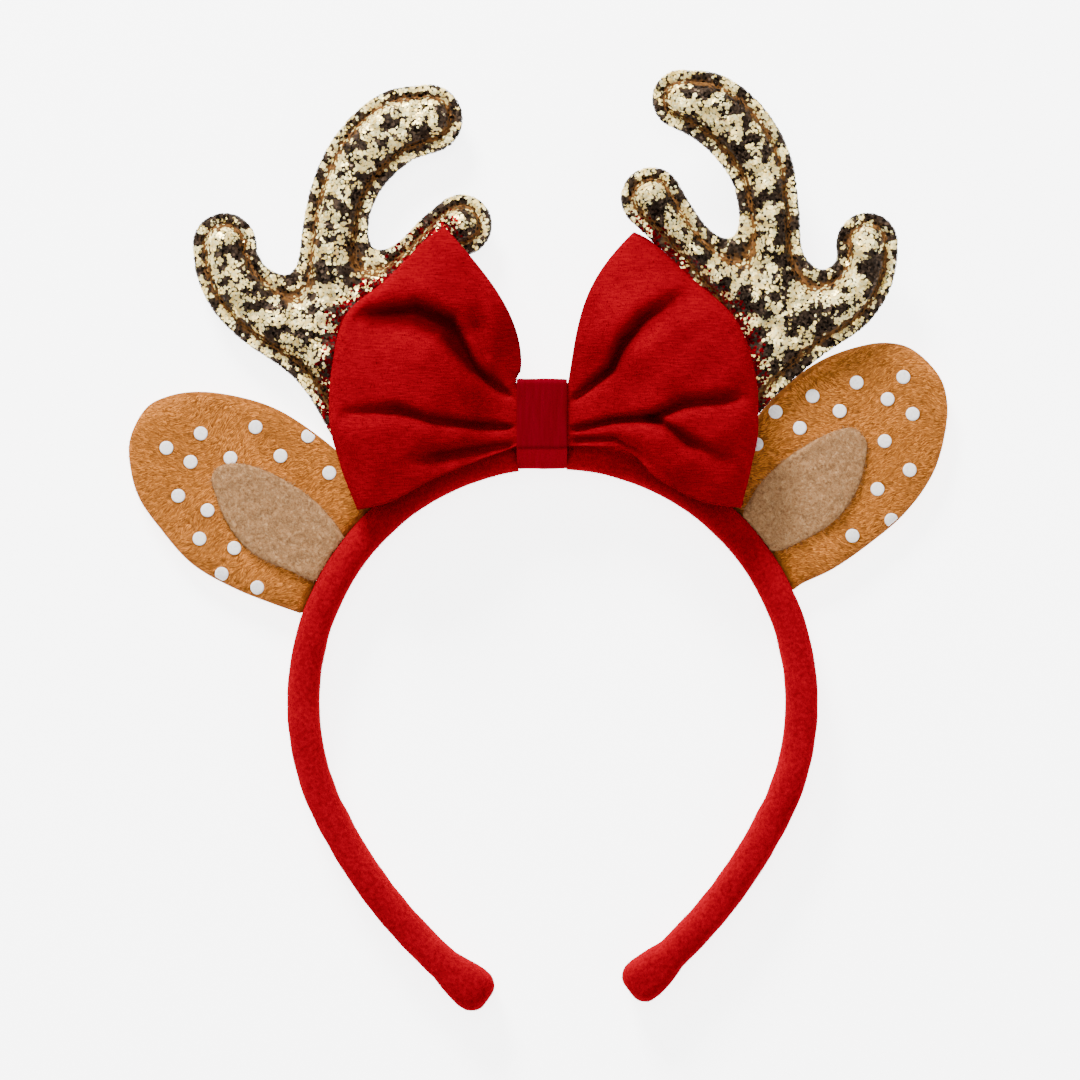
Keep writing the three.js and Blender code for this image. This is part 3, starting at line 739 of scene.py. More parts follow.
def satin_look():
    """Dark red satin, woven crosswise, with a soft red gleam."""
    threads = (1600, 2, (1, 0.08, 0.08))
    stops = [(0.3, (0.09, 0.0, 0.003)), (0.7, (0.112, 0.0, 0.005))]
    gleam = {"Sheen_Weight": 0.3, "Sheen_Tint": (1.0, 0.0, 0.03, 1)}
    relief = (0.12, 0.05)
    return grained_look("satin", SATIN_RED, 0.45, threads, stops, relief, Specular_IOR_Level=0, **gleam)


def glitter_ground_look():
    """Dark ground of the glitter fabric, seen between the flakes and brown along the groove."""
    look, tree, shader = new_look("glitter_ground", GLITTER_DARK, 0.6, Specular_IOR_Level=0.1)
    clumps = grain(tree, 1200, 3)
    tone = ramp(tree, clumps, grey((0.35, 0.45), (0.7, 1.3)))
    tree.links.new(multiply(tree, attribute(tree), tone), shader.inputs["Base Color"])
    bump(tree, shader, clumps, 0.8, 0.4)
    return look


def flake_look():
    """Metallised flakes, coloured by their painted glints and reflections: pale gold, dark or red."""
    return painted_look("flakes", (0.8, 0.68, 0.42), 0.34, Metallic=0.42, Specular_IOR_Level=0)


def thread_look():
    """Twisted brown sewing thread."""
    twist = (2600, 2, (1, 0.5, 0.5), 0.7)
    stops = [(0.35, (0.05, 0.018, 0.004)), (0.7, (0.25, 0.1, 0.02))]
    return grained_look("thread", THREAD_BROWN, 0.6, twist, stops, (0.5, 0.2), Specular_IOR_Level=0.15)


def plush_ground_look():
    """Knitted ground of the plush."""
    tufts = (900, 3)
    stops = [(0.3, (0.14, 0.04, 0.005)), (0.7, (0.3, 0.095, 0.013))]
    return grained_look("plush_ground", PLUSH_TAN, 0.9, tufts, stops, (0.6, 0.4), Specular_IOR_Level=0.05)


def plush_pile_look():
    """Short tan fibres with a silky gleam."""
    return painted_look("plush_pile", PLUSH_TAN, 0.65, Specular_IOR_Level=0.08)


def spot_look():
    """White printed spots."""
    specks = (1800, 2)
    stops = [(0.3, (0.84, 0.8, 0.77)), (0.6, (0.97, 0.94, 0.92))]
    return grained_look("white_print", PRINT_WHITE, 0.8, specks, stops, (0.3, 0.15), Specular_IOR_Level=0.2)


def felt_look():
    """Pressed taupe felt, mottled by its mixed fibres."""
    look, tree, shader = new_look("felt", FELT_TAUPE, 0.95, Specular_IOR_Level=0.05)
    mottle = grain(tree, 1500, 5)
    patches = grain(tree, 220, 3)
    tones = [(0.32, (0.175, 0.08, 0.03)), (0.5, FELT_TAUPE), (0.68, (0.46, 0.265, 0.125))]
    fine = ramp(tree, mottle, tones)
    wide = ramp(tree, patches, [(0.3, (0.9, 0.88, 0.86)), (0.7, (1.0, 1.0, 1.0))])
    tree.links.new(multiply(tree, fine, wide), shader.inputs["Base Color"])
    bump(tree, shader, mottle, 0.6, 0.25)
    return look


def felt_pile_look():
    """Single felt fibres."""
    return painted_look("felt_fibre", FELT_TAUPE, 0.9, Specular_IOR_Level=0.05)


def table_look():
    """Pale matt table."""
    glow = {"Emission_Color": (1, 1, 1, 1), "Emission_Strength": TABLE_GLOW}
    look, _, _ = new_look("table", TABLE_PALE, 0.9, Specular_IOR_Level=0, **glow)
    return look


# Headband


def band_station(length):
    """Place and outward normal of the headband's centreline: a round part, then a flatter arm."""
    round_length = BAND_RADIUS * ROUND_ANGLE
    turn = np.minimum(length, round_length) / BAND_RADIUS
    heading = turn + np.maximum(length - round_length, 0) / ARM_RADIUS
    x = BAND_RADIUS * np.sin(turn) + ARM_RADIUS * (np.sin(heading) - np.sin(turn))
    y = BAND_RADIUS * (np.cos(turn) - 1) + ARM_RADIUS * (np.cos(heading) - np.cos(turn))
    return x, y, np.sin(heading), np.cos(heading)


def rounded_section(half_wide, half_deep, corner):
    """Rounded rectangles, one for each half width: four quarter circles joined by straight sides."""
    quarter = np.linspace(0, math.pi / 2, CORNER_STEPS + 1)
    angle = np.concatenate([quarter - math.pi / 2, quarter, quarter + math.pi / 2, quarter + math.pi])
    sign_wide = np.repeat([1, 1, -1, -1], CORNER_STEPS + 1)
    sign_deep = np.repeat([-1, 1, 1, -1], CORNER_STEPS + 1)
    half_wide, half_deep, corner = (np.reshape(value, (-1, 1)) for value in (half_wide, half_deep, corner))
    wide = sign_wide * (half_wide - corner) + corner * np.cos(angle)
    deep = sign_deep * (half_deep - corner) + corner * np.sin(angle)
    return wide, deep


def band_side(side):
    """Rings of one half of the headband, from the ribbon's edge to the domed end."""
    band_length = BAND_RADIUS * ROUND_ANGLE + ARM_RADIUS * ARM_ANGLE[side]
    notch_end = RIBBON_WIDTH / 2 + SNUG_GAP + side * BOW_SHIFT
    dome = np.radians(DOME_ANGLES)
    run = np.arange(notch_end + SNUG_GAP, band_length - TIP_DOME, BAND_STEP)
    domed = band_length - TIP_DOME + TIP_DOME * np.sin(dome)
    length = np.concatenate([[notch_end], run, domed, [band_length]])
    narrow = np.zeros(len(length))
    narrow[0] = NOTCH
    notched = narrow[:, None] > 0
    shrink = np.ones(len(length))
    shrink[-len(dome) - 1 : -1] = np.cos(dome)
    shrink[-1] = DOME_LAST
    flare = np.clip((length - band_length + TIP_LENGTH) / (TIP_LENGTH * FLARE_SHARE), 0, 1)
    thick = BAND_THICKNESS + (TIP_THICKNESS - BAND_THICKNESS) * np.sin(flare * math.pi / 2)
    size = TIP_END_SHARE + (1 - TIP_END_SHARE) * shrink
    half_wide = (thick / 2 - narrow) * size
    half_deep = (BAND_DEPTH / 2 - narrow) * size
    corner = np.where(narrow > 0, RIBBON_CORNER, np.minimum(BAND_CORNER, half_wide * 0.9))
    wide, deep = rounded_section(half_wide, half_deep, corner)
    straight = (length[:, None], 0, 0, 1)
    x, y, nx, ny = (
        np.where(notched, plain, bent[:, None]) for plain, bent in zip(straight, band_station(length))
    )
    soft = BAND_SOFTNESS * ripple(x + wide, y + deep, BAND_WAVE, 21)
    wide = wide + soft * np.sign(wide) * ~notched
    rings = np.stack([side * (x + nx * wide), y + ny * wide, BAND_DEPTH / 2 + deep], -1)
    return rings[::-1] if side < 0 else rings


def headband(look):
    """One even rounded section carried round the hoop, with thicker domed ends."""
    rings = np.concatenate([band_side(-1), band_side(1)])
    count, size = rings.shape[:2]
    points = rings.reshape(-1, 3)
    turned = inside_out(points, ring_faces(count, size, False))
    tube, caps = stacks(1, count, size, turned)
    return piece("headband_velvet", points, [tube, caps], look), points, tube


# Bow


def fold_depth(folds, out, up):
    """Sum of the folds, each its depth times a pointed bell of the distance to the fold's line.

    The bell is steep on the upper side of the line and gentle on the lower one.
    """
    total = np.zeros_like(out)
    for fold in folds:
        nearest = np.full_like(out, np.inf)
        value = np.zeros_like(out)
        rows = np.array([fold["out"], fold["up"], fold["depth"], fold["width"]]).T
        for start, end in zip(rows[:-1], rows[1:]):
            run = end - start
            share = ((out - start[0]) * run[0] + (up - start[1]) * run[1]) / (run[0] ** 2 + run[1] ** 2)
            share = np.clip(share, 0, 1)
            dx, dy = out - start[0] - run[0] * share, up - start[1] - run[1] * share
            away = np.hypot(dx, dy)
            depth = start[2] + run[2] * share
            above = run[0] * dy - run[1] * dx > 0
            width = (start[3] + run[3] * share) * np.where(above, FOLD_STEEP, FOLD_GENTLE)
            far = away / width
            bell = depth * np.exp(FOLD_POINT - np.hypot(FOLD_POINT, far) - FOLD_TAIL * far**2)
            value = np.where(away < nearest, bell, value)
            nearest = np.minimum(nearest, away)
        total += value
    return total


def bow_surface(side, u, v, front, wall):
    """A skin of the bow, a wall in from the outer one: u out of the waist to the fold, v across the strip.

    Each line of constant v runs straight from the waist to its place on the fold, bulged by a half sine.
    The skin stands off the middle level by a puff that is full early on and rounds down to the fold.
    The strip's upper corners are drawn in a little. The inner skin ends a wall short of the fold and keeps
    a share of the outer height.
    """
    lobe = LOBES[side]
    start_out = RIBBON_WIDTH / 2 + LOBE_CLEAR
    end_out = BOW_REACH * curve(v, lobe["v"], lobe["out"])
    end_up = BOW_RISE * curve(v, lobe["v"], lobe["up"])
    run_out = end_out - start_out
    run_up = end_up - WAIST_HALF * v
    run = np.hypot(run_out, run_up)
    corner = (np.maximum(v - CORNER_FROM, 0) * np.maximum(u - CORNER_FROM, 0) / (1 - CORNER_FROM) ** 2) ** 2
    place = u * (1 - (wall + CORNER_DRAW * corner) / run)
    swell = np.sin(math.pi * place ** lobe["belly_place"]) * BOW_REACH
    upper = np.maximum((v - UPPER_FROM) / (1 - UPPER_FROM), 0)
    lower = np.maximum((UPPER_FROM - v) / (1 + UPPER_FROM), 0)
    bulge = swell * lobe["belly"] * upper**2 + curve(place, lobe["low_u"], lobe["low"]) * lower**2
    up = WAIST_HALF * v + run_up * place + bulge * run_out / run
    inmost = start_out - EDGE_OVER_RIBBON * smooth((up - WAIST_HALF - NOTCH) / EDGE_OVER_RUN)
    out = np.maximum(start_out + run_out * place - bulge * run_up / run, inmost)
    fold_share = np.interp(v, lobe["lift_v"], lobe["lift"])
    middle = WAIST_LEVEL + LOBE_LIFT * smooth(u / LIFT_RUN) * (1 - u + fold_share * u)
    rounding = np.sqrt(np.maximum(1 - u**4, 0))
    puff = np.where(front, FRONT_PUFF * (1 - (1 - EDGE_PUFF_SHARE) * v**2), BACK_PUFF)
    height = (WAIST_DEPTH + (puff - WAIST_DEPTH) * smooth(u / PUFF_RUN)) * rounding
    gathered = smooth(u / FOLD_START_RUN) * smooth((1 - u) / FOLD_END_RUN)
    crease = CREASE_HEIGHT * ripple(out, up, CREASE_SIZE, 5 + side)
    fold = (fold_depth(FOLDS[side], out, up) + crease) * gathered
    height = height - np.minimum(fold, FOLD_DEEPEST * height) * np.where(front, 1, FOLD_ON_BACK)
    height = np.maximum(height - wall, INNER_LEAST * height)
    z = middle + np.where(front, height, -height)
    return np.stack([BOW_SHIFT + side * out, WAIST_HEIGHT + up, z], -1)


def bow_painted_fold_shade(points):
    """Painted shade for the bow's velvet: darker along the bottoms of the folds."""
    out, up = points[:, 0] - BOW_SHIFT, points[:, 1] - WAIST_HEIGHT
    left, right = (fold_depth(FOLDS[side], side * out, up) for side in (-1, 1))
    fold = np.where(out < 0, left, right) * (points[:, 2] > WAIST_LEVEL)
    return 1 - FOLD_PAINTED_SHADE * smooth((fold - FOLD_PAINTED_SHADE_FROM) / FOLD_PAINTED_SHADE_RUN)[:, None]


def bow(look):
    """One velvet strip joined end to end and pinched at the waist, with an inner skin a wall in."""
    turn = np.linspace(0, 2, 2 * LOBE_STEPS + 1)
    u = np.sin(np.minimum(turn, 2 - turn) * math.pi / 2)
    v = np.linspace(-1, 1, STRIP_STEPS + 1)
    grid_u, grid_v = np.meshgrid(u, v, indexing="ij")
    first_half = turn[:, None] <= 1
    halves = ((1, first_half), (-1, ~first_half))
    outer, inner = (
        np.concatenate([bow_surface(side, grid_u, grid_v, front, wall) for side, front in halves])
        for wall in (0, BOW_WALL)
    )
    rings = np.concatenate([outer, inner[:, ::-1]], axis=1)
    count, size = rings.shape[:2]
    points = rings.reshape(-1, 3)
    faces = looped(points, count, size)
    skin = faces.reshape(count, size, 4)[:, :STRIP_STEPS].reshape(-1, 4)
    made = piece("bow_velvet", points, faces, look)
    # Painted shade along the bottoms of the folds, kept as the bow's colour attribute
    paint(made, np.repeat(bow_painted_fold_shade(points), 3, axis=1))
    return made, points, skin


def hoop_painted_light(points):
    """Painted light on the headband's velvet: the same brightening everywhere."""
    return np.full_like(points, HOOP_PAINTED_LIGHT)


def pile(name, points, faces, count, length, look, painted_light_at):
    """Loose velvet fibres: short, thin, leaning at random, slightly lighter or darker than the cloth, and
    carrying the cloth's painted shade or painted light.
    """
    roots, normals = scatter(points, faces, count)
    shown = roots[:, 2] > PILE_LEVEL
    roots, normals = roots[shown], normals[shown]
    count = len(roots)
    lean = lying(unit(rng.normal(size=(count, 3)) * 0.8 + np.array([0, -0.4, 0])), normals)
    # The cloth's painted shade or painted light is carried into each fibre's colour
    tone = rng.uniform(0.6, 1.25, (count, 1)) * painted_light_at(roots)[:, :1]
    colors = tone * np.array(VELVET_RED)
    long = length * rng.uniform(0.4, 1.0, count)
    roots = roots - normals * FIBRE_SINK
    return fibres(name, roots, normals, lean, long * 0.5, VELVET_FIBRE_WIDTH, long * 0.8, look, colors)


# Ribbon


def wrap_line(spots, clearance, steps):
    """Tight closed line round points of a plane, a clearance away, at even steps along its length."""
    angle = np.linspace(0, 2 * math.pi, 361)
    heading = np.stack([np.cos(angle), np.sin(angle)], -1)
    touching = spots[np.argmax(heading @ spots.T, axis=1)]
    line = touching + clearance * heading
    length = length_along(line)
    even = np.linspace(0, length[-1], steps, endpoint=False)
    return np.stack([np.interp(even, length, line[:, k]) for k in (0, 1)], -1), length[-1]


def across_x(places, lines):
    """Closed lines of the Y-Z plane, each at its place along X."""
    return np.concatenate([np.broadcast_to(places[:, None, None], (*lines.shape[:2], 1)), lines], -1)


def ribbon(look):
    """Satin band wrapped round the headband and the bow's waist, faintly gathered lengthwise."""
    half_wide, half_deep = BAND_THICKNESS / 2 - NOTCH, BAND_DEPTH / 2 - NOTCH
    core = np.stack(rounded_section(half_wide, half_deep, RIBBON_CORNER), -1)[0]
    waist = np.stack(rounded_section(WAIST_HALF, WAIST_DEPTH, FIT_GAP), -1)[0]
    held = np.concatenate([core + [0, BAND_DEPTH / 2], waist + [WAIST_HEIGHT, WAIST_LEVEL]])
    inner, _ = wrap_line(held, FIT_GAP, RIBBON_LOOP_STEPS)
    outer, length = wrap_line(held, NOTCH, RIBBON_LOOP_STEPS)
    share = np.linspace(-1, 1, RIBBON_ACROSS_STEPS + 1)
    turn = circle(RIBBON_LOOP_STEPS)
    across = share[:, None]
    gather = RIBBON_GATHER * np.sin(across * 5 + 0.9 * np.sin(2 * turn))
    gather = gather + RIBBON_CREASE * np.sin(across * 13 + turn * 2)
    edge = RIBBON_EDGE_DROP * smooth((np.abs(across) - RIBBON_EDGE_FROM) / (1 - RIBBON_EDGE_FROM))
    lift = gather * smooth(outer[:, 1] / 2) - edge
    skin = outer + unit(outer - inner) * lift[:, :, None]
    x = BOW_SHIFT + RIBBON_WIDTH / 2 * share
    rings = np.concatenate([across_x(x, skin), across_x(x[[-1, 0]], np.stack([inner, inner]))])
    points = rings.reshape(-1, 3)
    faces = looped(points, len(rings), RIBBON_LOOP_STEPS)
    return piece("bow_ribbon", points, faces, look), length


# Plates in plan: antlers, ears and felt leaves


def root_point(angle, side):
    """Place on the headband's outer face, an angle away from the crown."""
    return side * OUTER_RADIUS * math.sin(angle), OUTER_RADIUS * math.cos(angle) - BAND_RADIUS


def band_keep_out(x, y):
    """How far a place lies inside the headband's outline, with the clearance round it."""
    return OUTER_RADIUS + FIT_GAP - np.hypot(x, y + BAND_RADIUS)


def antler_field(side):
    """Signed distance to an antler's outline: three strokes run together, cut off at the headband."""
    root_x, root_y = root_point(ANTLER_ANGLE[side], side)
    scale = np.array([ANTLER_HEIGHT, ANTLER_HEIGHT, TINE_WIDTH])
    tables = (np.array([stroke["along"], stroke["up"], stroke["half"]]).T for stroke in ANTLER_STROKES[side])
    lines = [smooth_line(table * scale, LINE_SAMPLES, False) for table in tables]

    def field(x, y):
        along, up = side * (x - root_x), y - root_y
        total, *others = (
            (np.hypot(along[..., None] - line[:, 0], up[..., None] - line[:, 1]) - line[:, 2]).min(-1)
            for line in lines
        )
        for away in others:
            near = np.maximum(ANTLER_BLEND - np.abs(total - away), 0) / ANTLER_BLEND
            total = np.minimum(total, away) - near * near * ANTLER_BLEND / 4
        return np.maximum(total, band_keep_out(x, y))

    return field


def leaf_outline(rows, length, width, angle, rise, side):
    """Closed smooth outline through the rows of a leaf."""
    root_x, root_y = root_point(angle, side)
    ax, ay = side * math.cos(rise), math.sin(rise)
    along = np.concatenate([rows["along"], rows["along"][::-1]]) * length
    over = np.concatenate([rows["upper"], rows["lower"][::-1]]) * width
    spots = np.stack([root_x + ax * along - side * ay * over, root_y + ay * along + side * ax * over], -1)
    return smooth_line(spots, LINE_SAMPLES * 2, True)[:-1]


def outline_field(outline):
    """Signed distance to a closed outline, negative inside."""
    start, end = outline, np.roll(outline, -1, 0)
    run = end - start

    def field(x, y):
        dx, dy = x[..., None] - start[:, 0], y[..., None] - start[:, 1]
        share = np.clip((dx * run[:, 0] + dy * run[:, 1]) / (run**2).sum(1), 0, 1)
        away = np.hypot(dx - run[:, 0] * share, dy - run[:, 1] * share).min(-1)
        passes = (start[:, 1] > y[..., None]) != (end[:, 1] > y[..., None])
        lean = run[:, 0] / np.where(run[:, 1] == 0, 1e-9, run[:, 1])
        left = x[..., None] < start[:, 0] + lean * (y[..., None] - start[:, 1])
        inside = (passes & left).sum(-1) % 2 == 1
        return np.where(inside, -away, away)

    return field


def plate(field, centre, reach, cell, heights, wall_rows, bulge):
    """A plate inside a plan field, with a rounded wall between its front and its back.

    Both lie over a square grid, whose border is drawn onto the outline. heights gives the level of the front
    and of the back from x, y and the depth inside.
    """
    line = np.arange(-reach, reach, cell)
    grid_x, grid_y = np.meshgrid(centre[0] + line, centre[1] + line, indexing="ij")
    value = in_chunks(field, grid_x, grid_y)
    inside = value < 0.5 * cell
    kept = inside[:-1, :-1] & inside[1:, :-1] & inside[1:, 1:] & inside[:-1, 1:]
    number = np.arange(value.size).reshape(value.shape)
    faces = np.stack([number[:-1, :-1], number[1:, :-1], number[1:, 1:], number[:-1, 1:]], -1)[kept]
    used, faces = np.unique(faces, return_inverse=True)
    faces = faces.reshape(-1, 4)
    x, y = grid_x.ravel()[used], grid_y.ravel()[used]
    edges = np.stack([faces, np.roll(faces, -1, 1)], -1).reshape(-1, 2)
    keys = np.sort(edges, 1)
    _, first, count = np.unique(keys, axis=0, return_index=True, return_counts=True)
    rim = edges[first[count == 1]]
    border = np.unique(rim)
    depth = -in_chunks(field, x, y)
    drawn = np.union1d(border, np.flatnonzero(depth < 0))
    for _ in range(OUTLINE_DRAWS):
        gx, gy = slope(field, x[drawn], y[drawn])
        away = field(x[drawn], y[drawn])
        x[drawn] -= gx * away
        y[drawn] -= gy * away
    depth = np.maximum(-in_chunks(field, x, y), 0)
    top, bottom = heights(x, y, depth)
    count = len(x)
    points = [np.stack([x, y, top], -1), np.stack([x, y, bottom], -1)]
    gx, gy = slope(field, x[border], y[border], 0.3)
    for row in range(1, wall_rows):
        share = row / wall_rows
        out = bulge * math.sin(math.pi * share)
        z = top[border] * (1 - share) + bottom[border] * share
        points.append(np.stack([x[border] + gx * out, y[border] + gy * out, z], -1))
    place = np.zeros(count, int)
    place[border] = np.arange(len(border))
    between = [2 * count + row * len(border) + place[rim] for row in range(wall_rows - 1)]
    levels = [rim, *between, rim + count]
    walls = [np.stack([a[:, 0], b[:, 0], b[:, 1], a[:, 1]], -1) for a, b in zip(levels[:-1], levels[1:])]
    return np.concatenate(points), np.concatenate([faces, faces[:, ::-1] + count, *walls])


def padded_rise(depth, rim, rim_half, full_half, shoulder):
    """Half thickness at a depth in from the outline: a flat rim, then a rounded shoulder."""
    share = np.clip((depth - rim) / shoulder, 0, 1)
    return rim_half + (full_half - rim_half) * np.sqrt(1 - (1 - share) ** 2)


def lean_and_place(points, side):
    """Points of an antler drawn level round its root, leant forward about the root and set on its level."""
    root_y = root_point(ANTLER_ANGLE[side], side)[1]
    lean = ANTLER_LEAN[side]
    y, z = points[..., 1] - root_y, points[..., 2]
    turned = [
        points[..., 0],
        root_y + y * math.cos(lean) - z * math.sin(lean),
        ANTLER_LEVEL[side] + y * math.sin(lean) + z * math.cos(lean),
    ]
    return np.stack(turned, -1)


def antler_rise(x, y, depth, side):
    """Half thickness of an antler: padded, a little lumpy, with a stitched groove along its flat rim."""
    shoulder = TINE_WIDTH / 2 - ANTLER_RIM
    rise = padded_rise(depth, ANTLER_RIM, ANTLER_RIM_THICKNESS / 2, ANTLER_THICKNESS / 2, shoulder)
    for (height, size), seed, inset in ((ANTLER_LUMP, 31, ANTLER_RIM), (ANTLER_DENT, 41, 0)):
        rise = rise + height * ripple(x, y, size, seed + side) * smooth((depth - inset) / 2)
    return rise - GROOVE_DEPTH * np.exp(-(((depth - ANTLER_RIM) / GROOVE_WIDTH) ** 2))


def trace(field, level, start):
    """Closed line where a field has this level: steps along it, each drawn back onto it."""
    x, y = (np.array([value], float) for value in start)
    spots = []
    while len(spots) < TRACE_MOST:
        for _ in range(TRACE_DRAWS if spots else TRACE_FIRST_DRAWS):
            gx, gy = slope(field, x, y)
            away = field(x, y) - level
            x, y = x - gx * away, y - gy * away
        spots.append((x[0], y[0]))
        if len(spots) > TRACE_FIRST_DRAWS and math.dist(spots[0], spots[-1]) < 0.8 * TRACE_STEP:
            break
        gx, gy = slope(field, x, y)
        x, y = x - gy * TRACE_STEP, y + gx * TRACE_STEP
    return np.array(spots)


def stitches(name, field, side, start, look):
    """Backstitches along an antler's groove, front and back: each a twisted thread dipped at both ends."""
    line = trace(field, -ANTLER_RIM, start)
    length = length_along(line)
    starts = np.arange(0, length[-1] - STITCH_PITCH, STITCH_PITCH)
    share = np.linspace(0, 1, STITCH_STEPS + 1)
    along = starts[:, None] + STITCH_LENGTH * share
    x, y = (np.interp(along, length, line[:, k]) for k in (0, 1))
    rise = antler_rise(x, y, np.full(x.shape, ANTLER_RIM), side)
    dip = STITCH_DIP * np.abs(2 * share - 1) ** 3
    middle = np.stack([x, y, rise + STITCH_LIFT - dip], -1)
    forward = unit(np.gradient(middle, axis=1))
    sideways = unit(np.cross(np.broadcast_to([0.0, 0.0, 1.0], forward.shape), forward))
    upward = np.cross(forward, sideways)
    angle = circle(THREAD_SIDES)
    slim = np.sqrt(np.maximum(1 - (2 * share - 1) ** 6, 0.02)) * THREAD_RADIUS
    twist = 3 * angle + THREAD_TWIST * share[:, None]
    two_ply = slim[:, None] * (1 + PLY_DEPTH * np.cos(2 * twist))
    ring_side = (two_ply * np.cos(angle))[None, :, :, None]
    ring_up = (two_ply * np.sin(angle))[None, :, :, None]
    front = middle[:, :, None] + sideways[:, :, None] * ring_side + upward[:, :, None] * ring_up
    back = front * np.array([1, 1, -1])
    points = np.concatenate([front.reshape(-1, 3), back.reshape(-1, 3)])
    faces = stacks(len(starts), len(share), THREAD_SIDES, False)
    faces += stacks(len(starts), len(share), THREAD_SIDES, True, len(points) // 2)
    return piece(name, lean_and_place(points, side), faces, look)


def flakes(name, points, faces, field, side, count, look):
    """Hexagonal glitter flakes in patches that tip together, painted with glints and reflections: pale gold
    where they face the light, dark where they face away, and red beside the bow as a painted reflection of
    it.
    """
    spots, normals = scatter(points, faces, count)
    root_y = root_point(ANTLER_ANGLE[side], side)[1]
    level_y = root_y + (spots[:, 1] - root_y) / math.cos(ANTLER_LEAN[side])
    depth = -in_chunks(field, spots[:, 0], level_y)
    clear = (np.abs(depth - ANTLER_RIM) > SEAM_CLEAR) | (rng.random(count) < FLAKES_ON_SEAM)
    spots, normals = spots[clear], normals[clear]
    count = len(spots)
    x, y = spots[:, 0], spots[:, 1]
    tip_x, tip_y = (TIP_HEIGHT * ripple(x, y, TIP_SIZE, seed + side) for seed in (51, 61))
    tip = np.stack([tip_x, tip_y, np.zeros(count)], -1)
    normals = unit(normals + tip + rng.normal(size=(count, 3)) * TIP_SPREAD)
    first = unit(np.cross(normals, unit(rng.normal(size=(count, 3)))))
    second = np.cross(normals, first)
    radius = rng.uniform(*FLAKE_RADIUS, (count, 1, 1))
    angle = circle(FLAKE_CORNERS)[:, None]
    corners = first[:, None] * np.cos(angle) + second[:, None] * np.sin(angle)
    lift = rng.uniform(*FLAKE_LIFT, (count, 1)) * normals
    hexagons = (spots + lift)[:, None] + radius * corners
    faces = np.arange(count * FLAKE_CORNERS).reshape(-1, FLAKE_CORNERS)
    made = piece(name, hexagons.reshape(-1, 3), faces, look, flat=True)
    # Painted glint: flakes that face the light, in patches, are painted gold and the rest dark
    patch = sum(height * ripple(x, y, size, seed + side) for height, size, seed in PAINTED_GLINT_PATCHES)
    painted_glint = normals @ np.array(PAINTED_GLINT_FROM) * PAINTED_GLINT_GAIN - PAINTED_GLINT_LEVEL + patch
    painted_glint = painted_glint + rng.normal(size=count) * PAINTED_GLINT_SPREAD
    pale = smooth((painted_glint + PAINTED_GLINT_EDGE) / (2 * PAINTED_GLINT_EDGE))[:, None]
    warm = rng.random((count, 1))
    gold = np.array(FLAKE_DEEP_GOLD) * (1 - warm) + np.array(FLAKE_PALE_GOLD) * warm
    gold = gold * rng.uniform(0.88, 1.0, (count, 1))
    dark = np.array(FLAKE_DARK) * rng.uniform(0.2, 3.0, (count, 1)) ** 1.5
    colors = gold * pale + dark * (1 - pale)
    # Painted reflection: flakes near the bow's edge are painted dark red, as if mirroring its velvet
    along_edge = np.linspace(-1, 1, LINE_SAMPLES)
    edge = bow_surface(side, np.ones(LINE_SAMPLES), along_edge, True, 0)[:, :2]
    away = np.hypot(x[:, None] - edge[:, 0], y[:, None] - edge[:, 1]).min(1)
    beside = 1 - smooth(away / BOW_REFLECTION_REACH)
    red = rng.random(count) < BOW_REFLECTION_SHARE * beside
    colors[red] = np.array(VELVET_RED) * rng.uniform(0.15, 0.8, (red.sum(), 1))
    paint(made, np.repeat(colors, FLAKE_CORNERS, axis=0))
    return made


def antler(side, ground, flake, thread):
    """A padded glitter antler: its body, its flakes and the stitches round it."""
    name = SIDE_NAME[side]
    field = antler_field(side)
    root_x, root_y = root_point(ANTLER_ANGLE[side], side)
    along, up = ANTLER_MIDDLE
    centre = (root_x + side * along * ANTLER_HEIGHT, root_y + up * ANTLER_HEIGHT)

    def heights(x, y, depth):
        rise = antler_rise(x, y, depth, side)
        return rise, -rise

    reach = ANTLER_GRID * ANTLER_HEIGHT
    points, faces = plate(field, centre, reach, PLATE_CELL, heights, PLATE_WALL_ROWS, ANTLER_BULGE)
    from_seam = in_chunks(field, points[:, 0], points[:, 1]) + ANTLER_RIM
    near_seam = np.exp(-((from_seam / SEAM_BROWN) ** 2))[:, None]
    points = lean_and_place(points, side)
    body = piece(f"antler_{name}_body", points, faces, ground)
    paint(body, np.array(GLITTER_DARK) * (1 - near_seam) + np.array(GROOVE_BROWN) * near_seam)
    glitter = flakes(f"antler_{name}_flakes", points, faces, field, side, ANTLER_FLAKES, flake)
    beam = ANTLER_STROKES[side][0]
    start_x = root_x + side * beam["along"][3] * ANTLER_HEIGHT - SEAM_FROM_BEAM
    start_y = root_y + beam["up"][3] * ANTLER_HEIGHT
    seam = stitches(f"antler_{name}_stitches", field, side, (start_x, start_y), thread)
    return body, glitter, seam


def ear_rise(depth):
    """Half thickness of an ear at a depth in from its outline."""
    return padded_rise(depth, 0, EAR_RIM_THICKNESS / 2, EAR_THICKNESS / 2, EAR_SHOULDER)


def ear_field(side, antler_outline):
    """Signed distance to an ear's outline, cut off at the headband and at the antler beside it."""
    outline = leaf_outline(EAR_ROWS[side], EAR_LENGTH, EAR_WIDTH, EAR_ANGLE[side], EAR_RISE[side], side)
    leaf = outline_field(outline)
    clearance = FIT_GAP if side < 0 else -EAR_TUCK

    def field(x, y):
        beside = clearance - antler_outline(x, y)
        return np.maximum(np.maximum(leaf(x, y), band_keep_out(x, y)), beside)

    return field


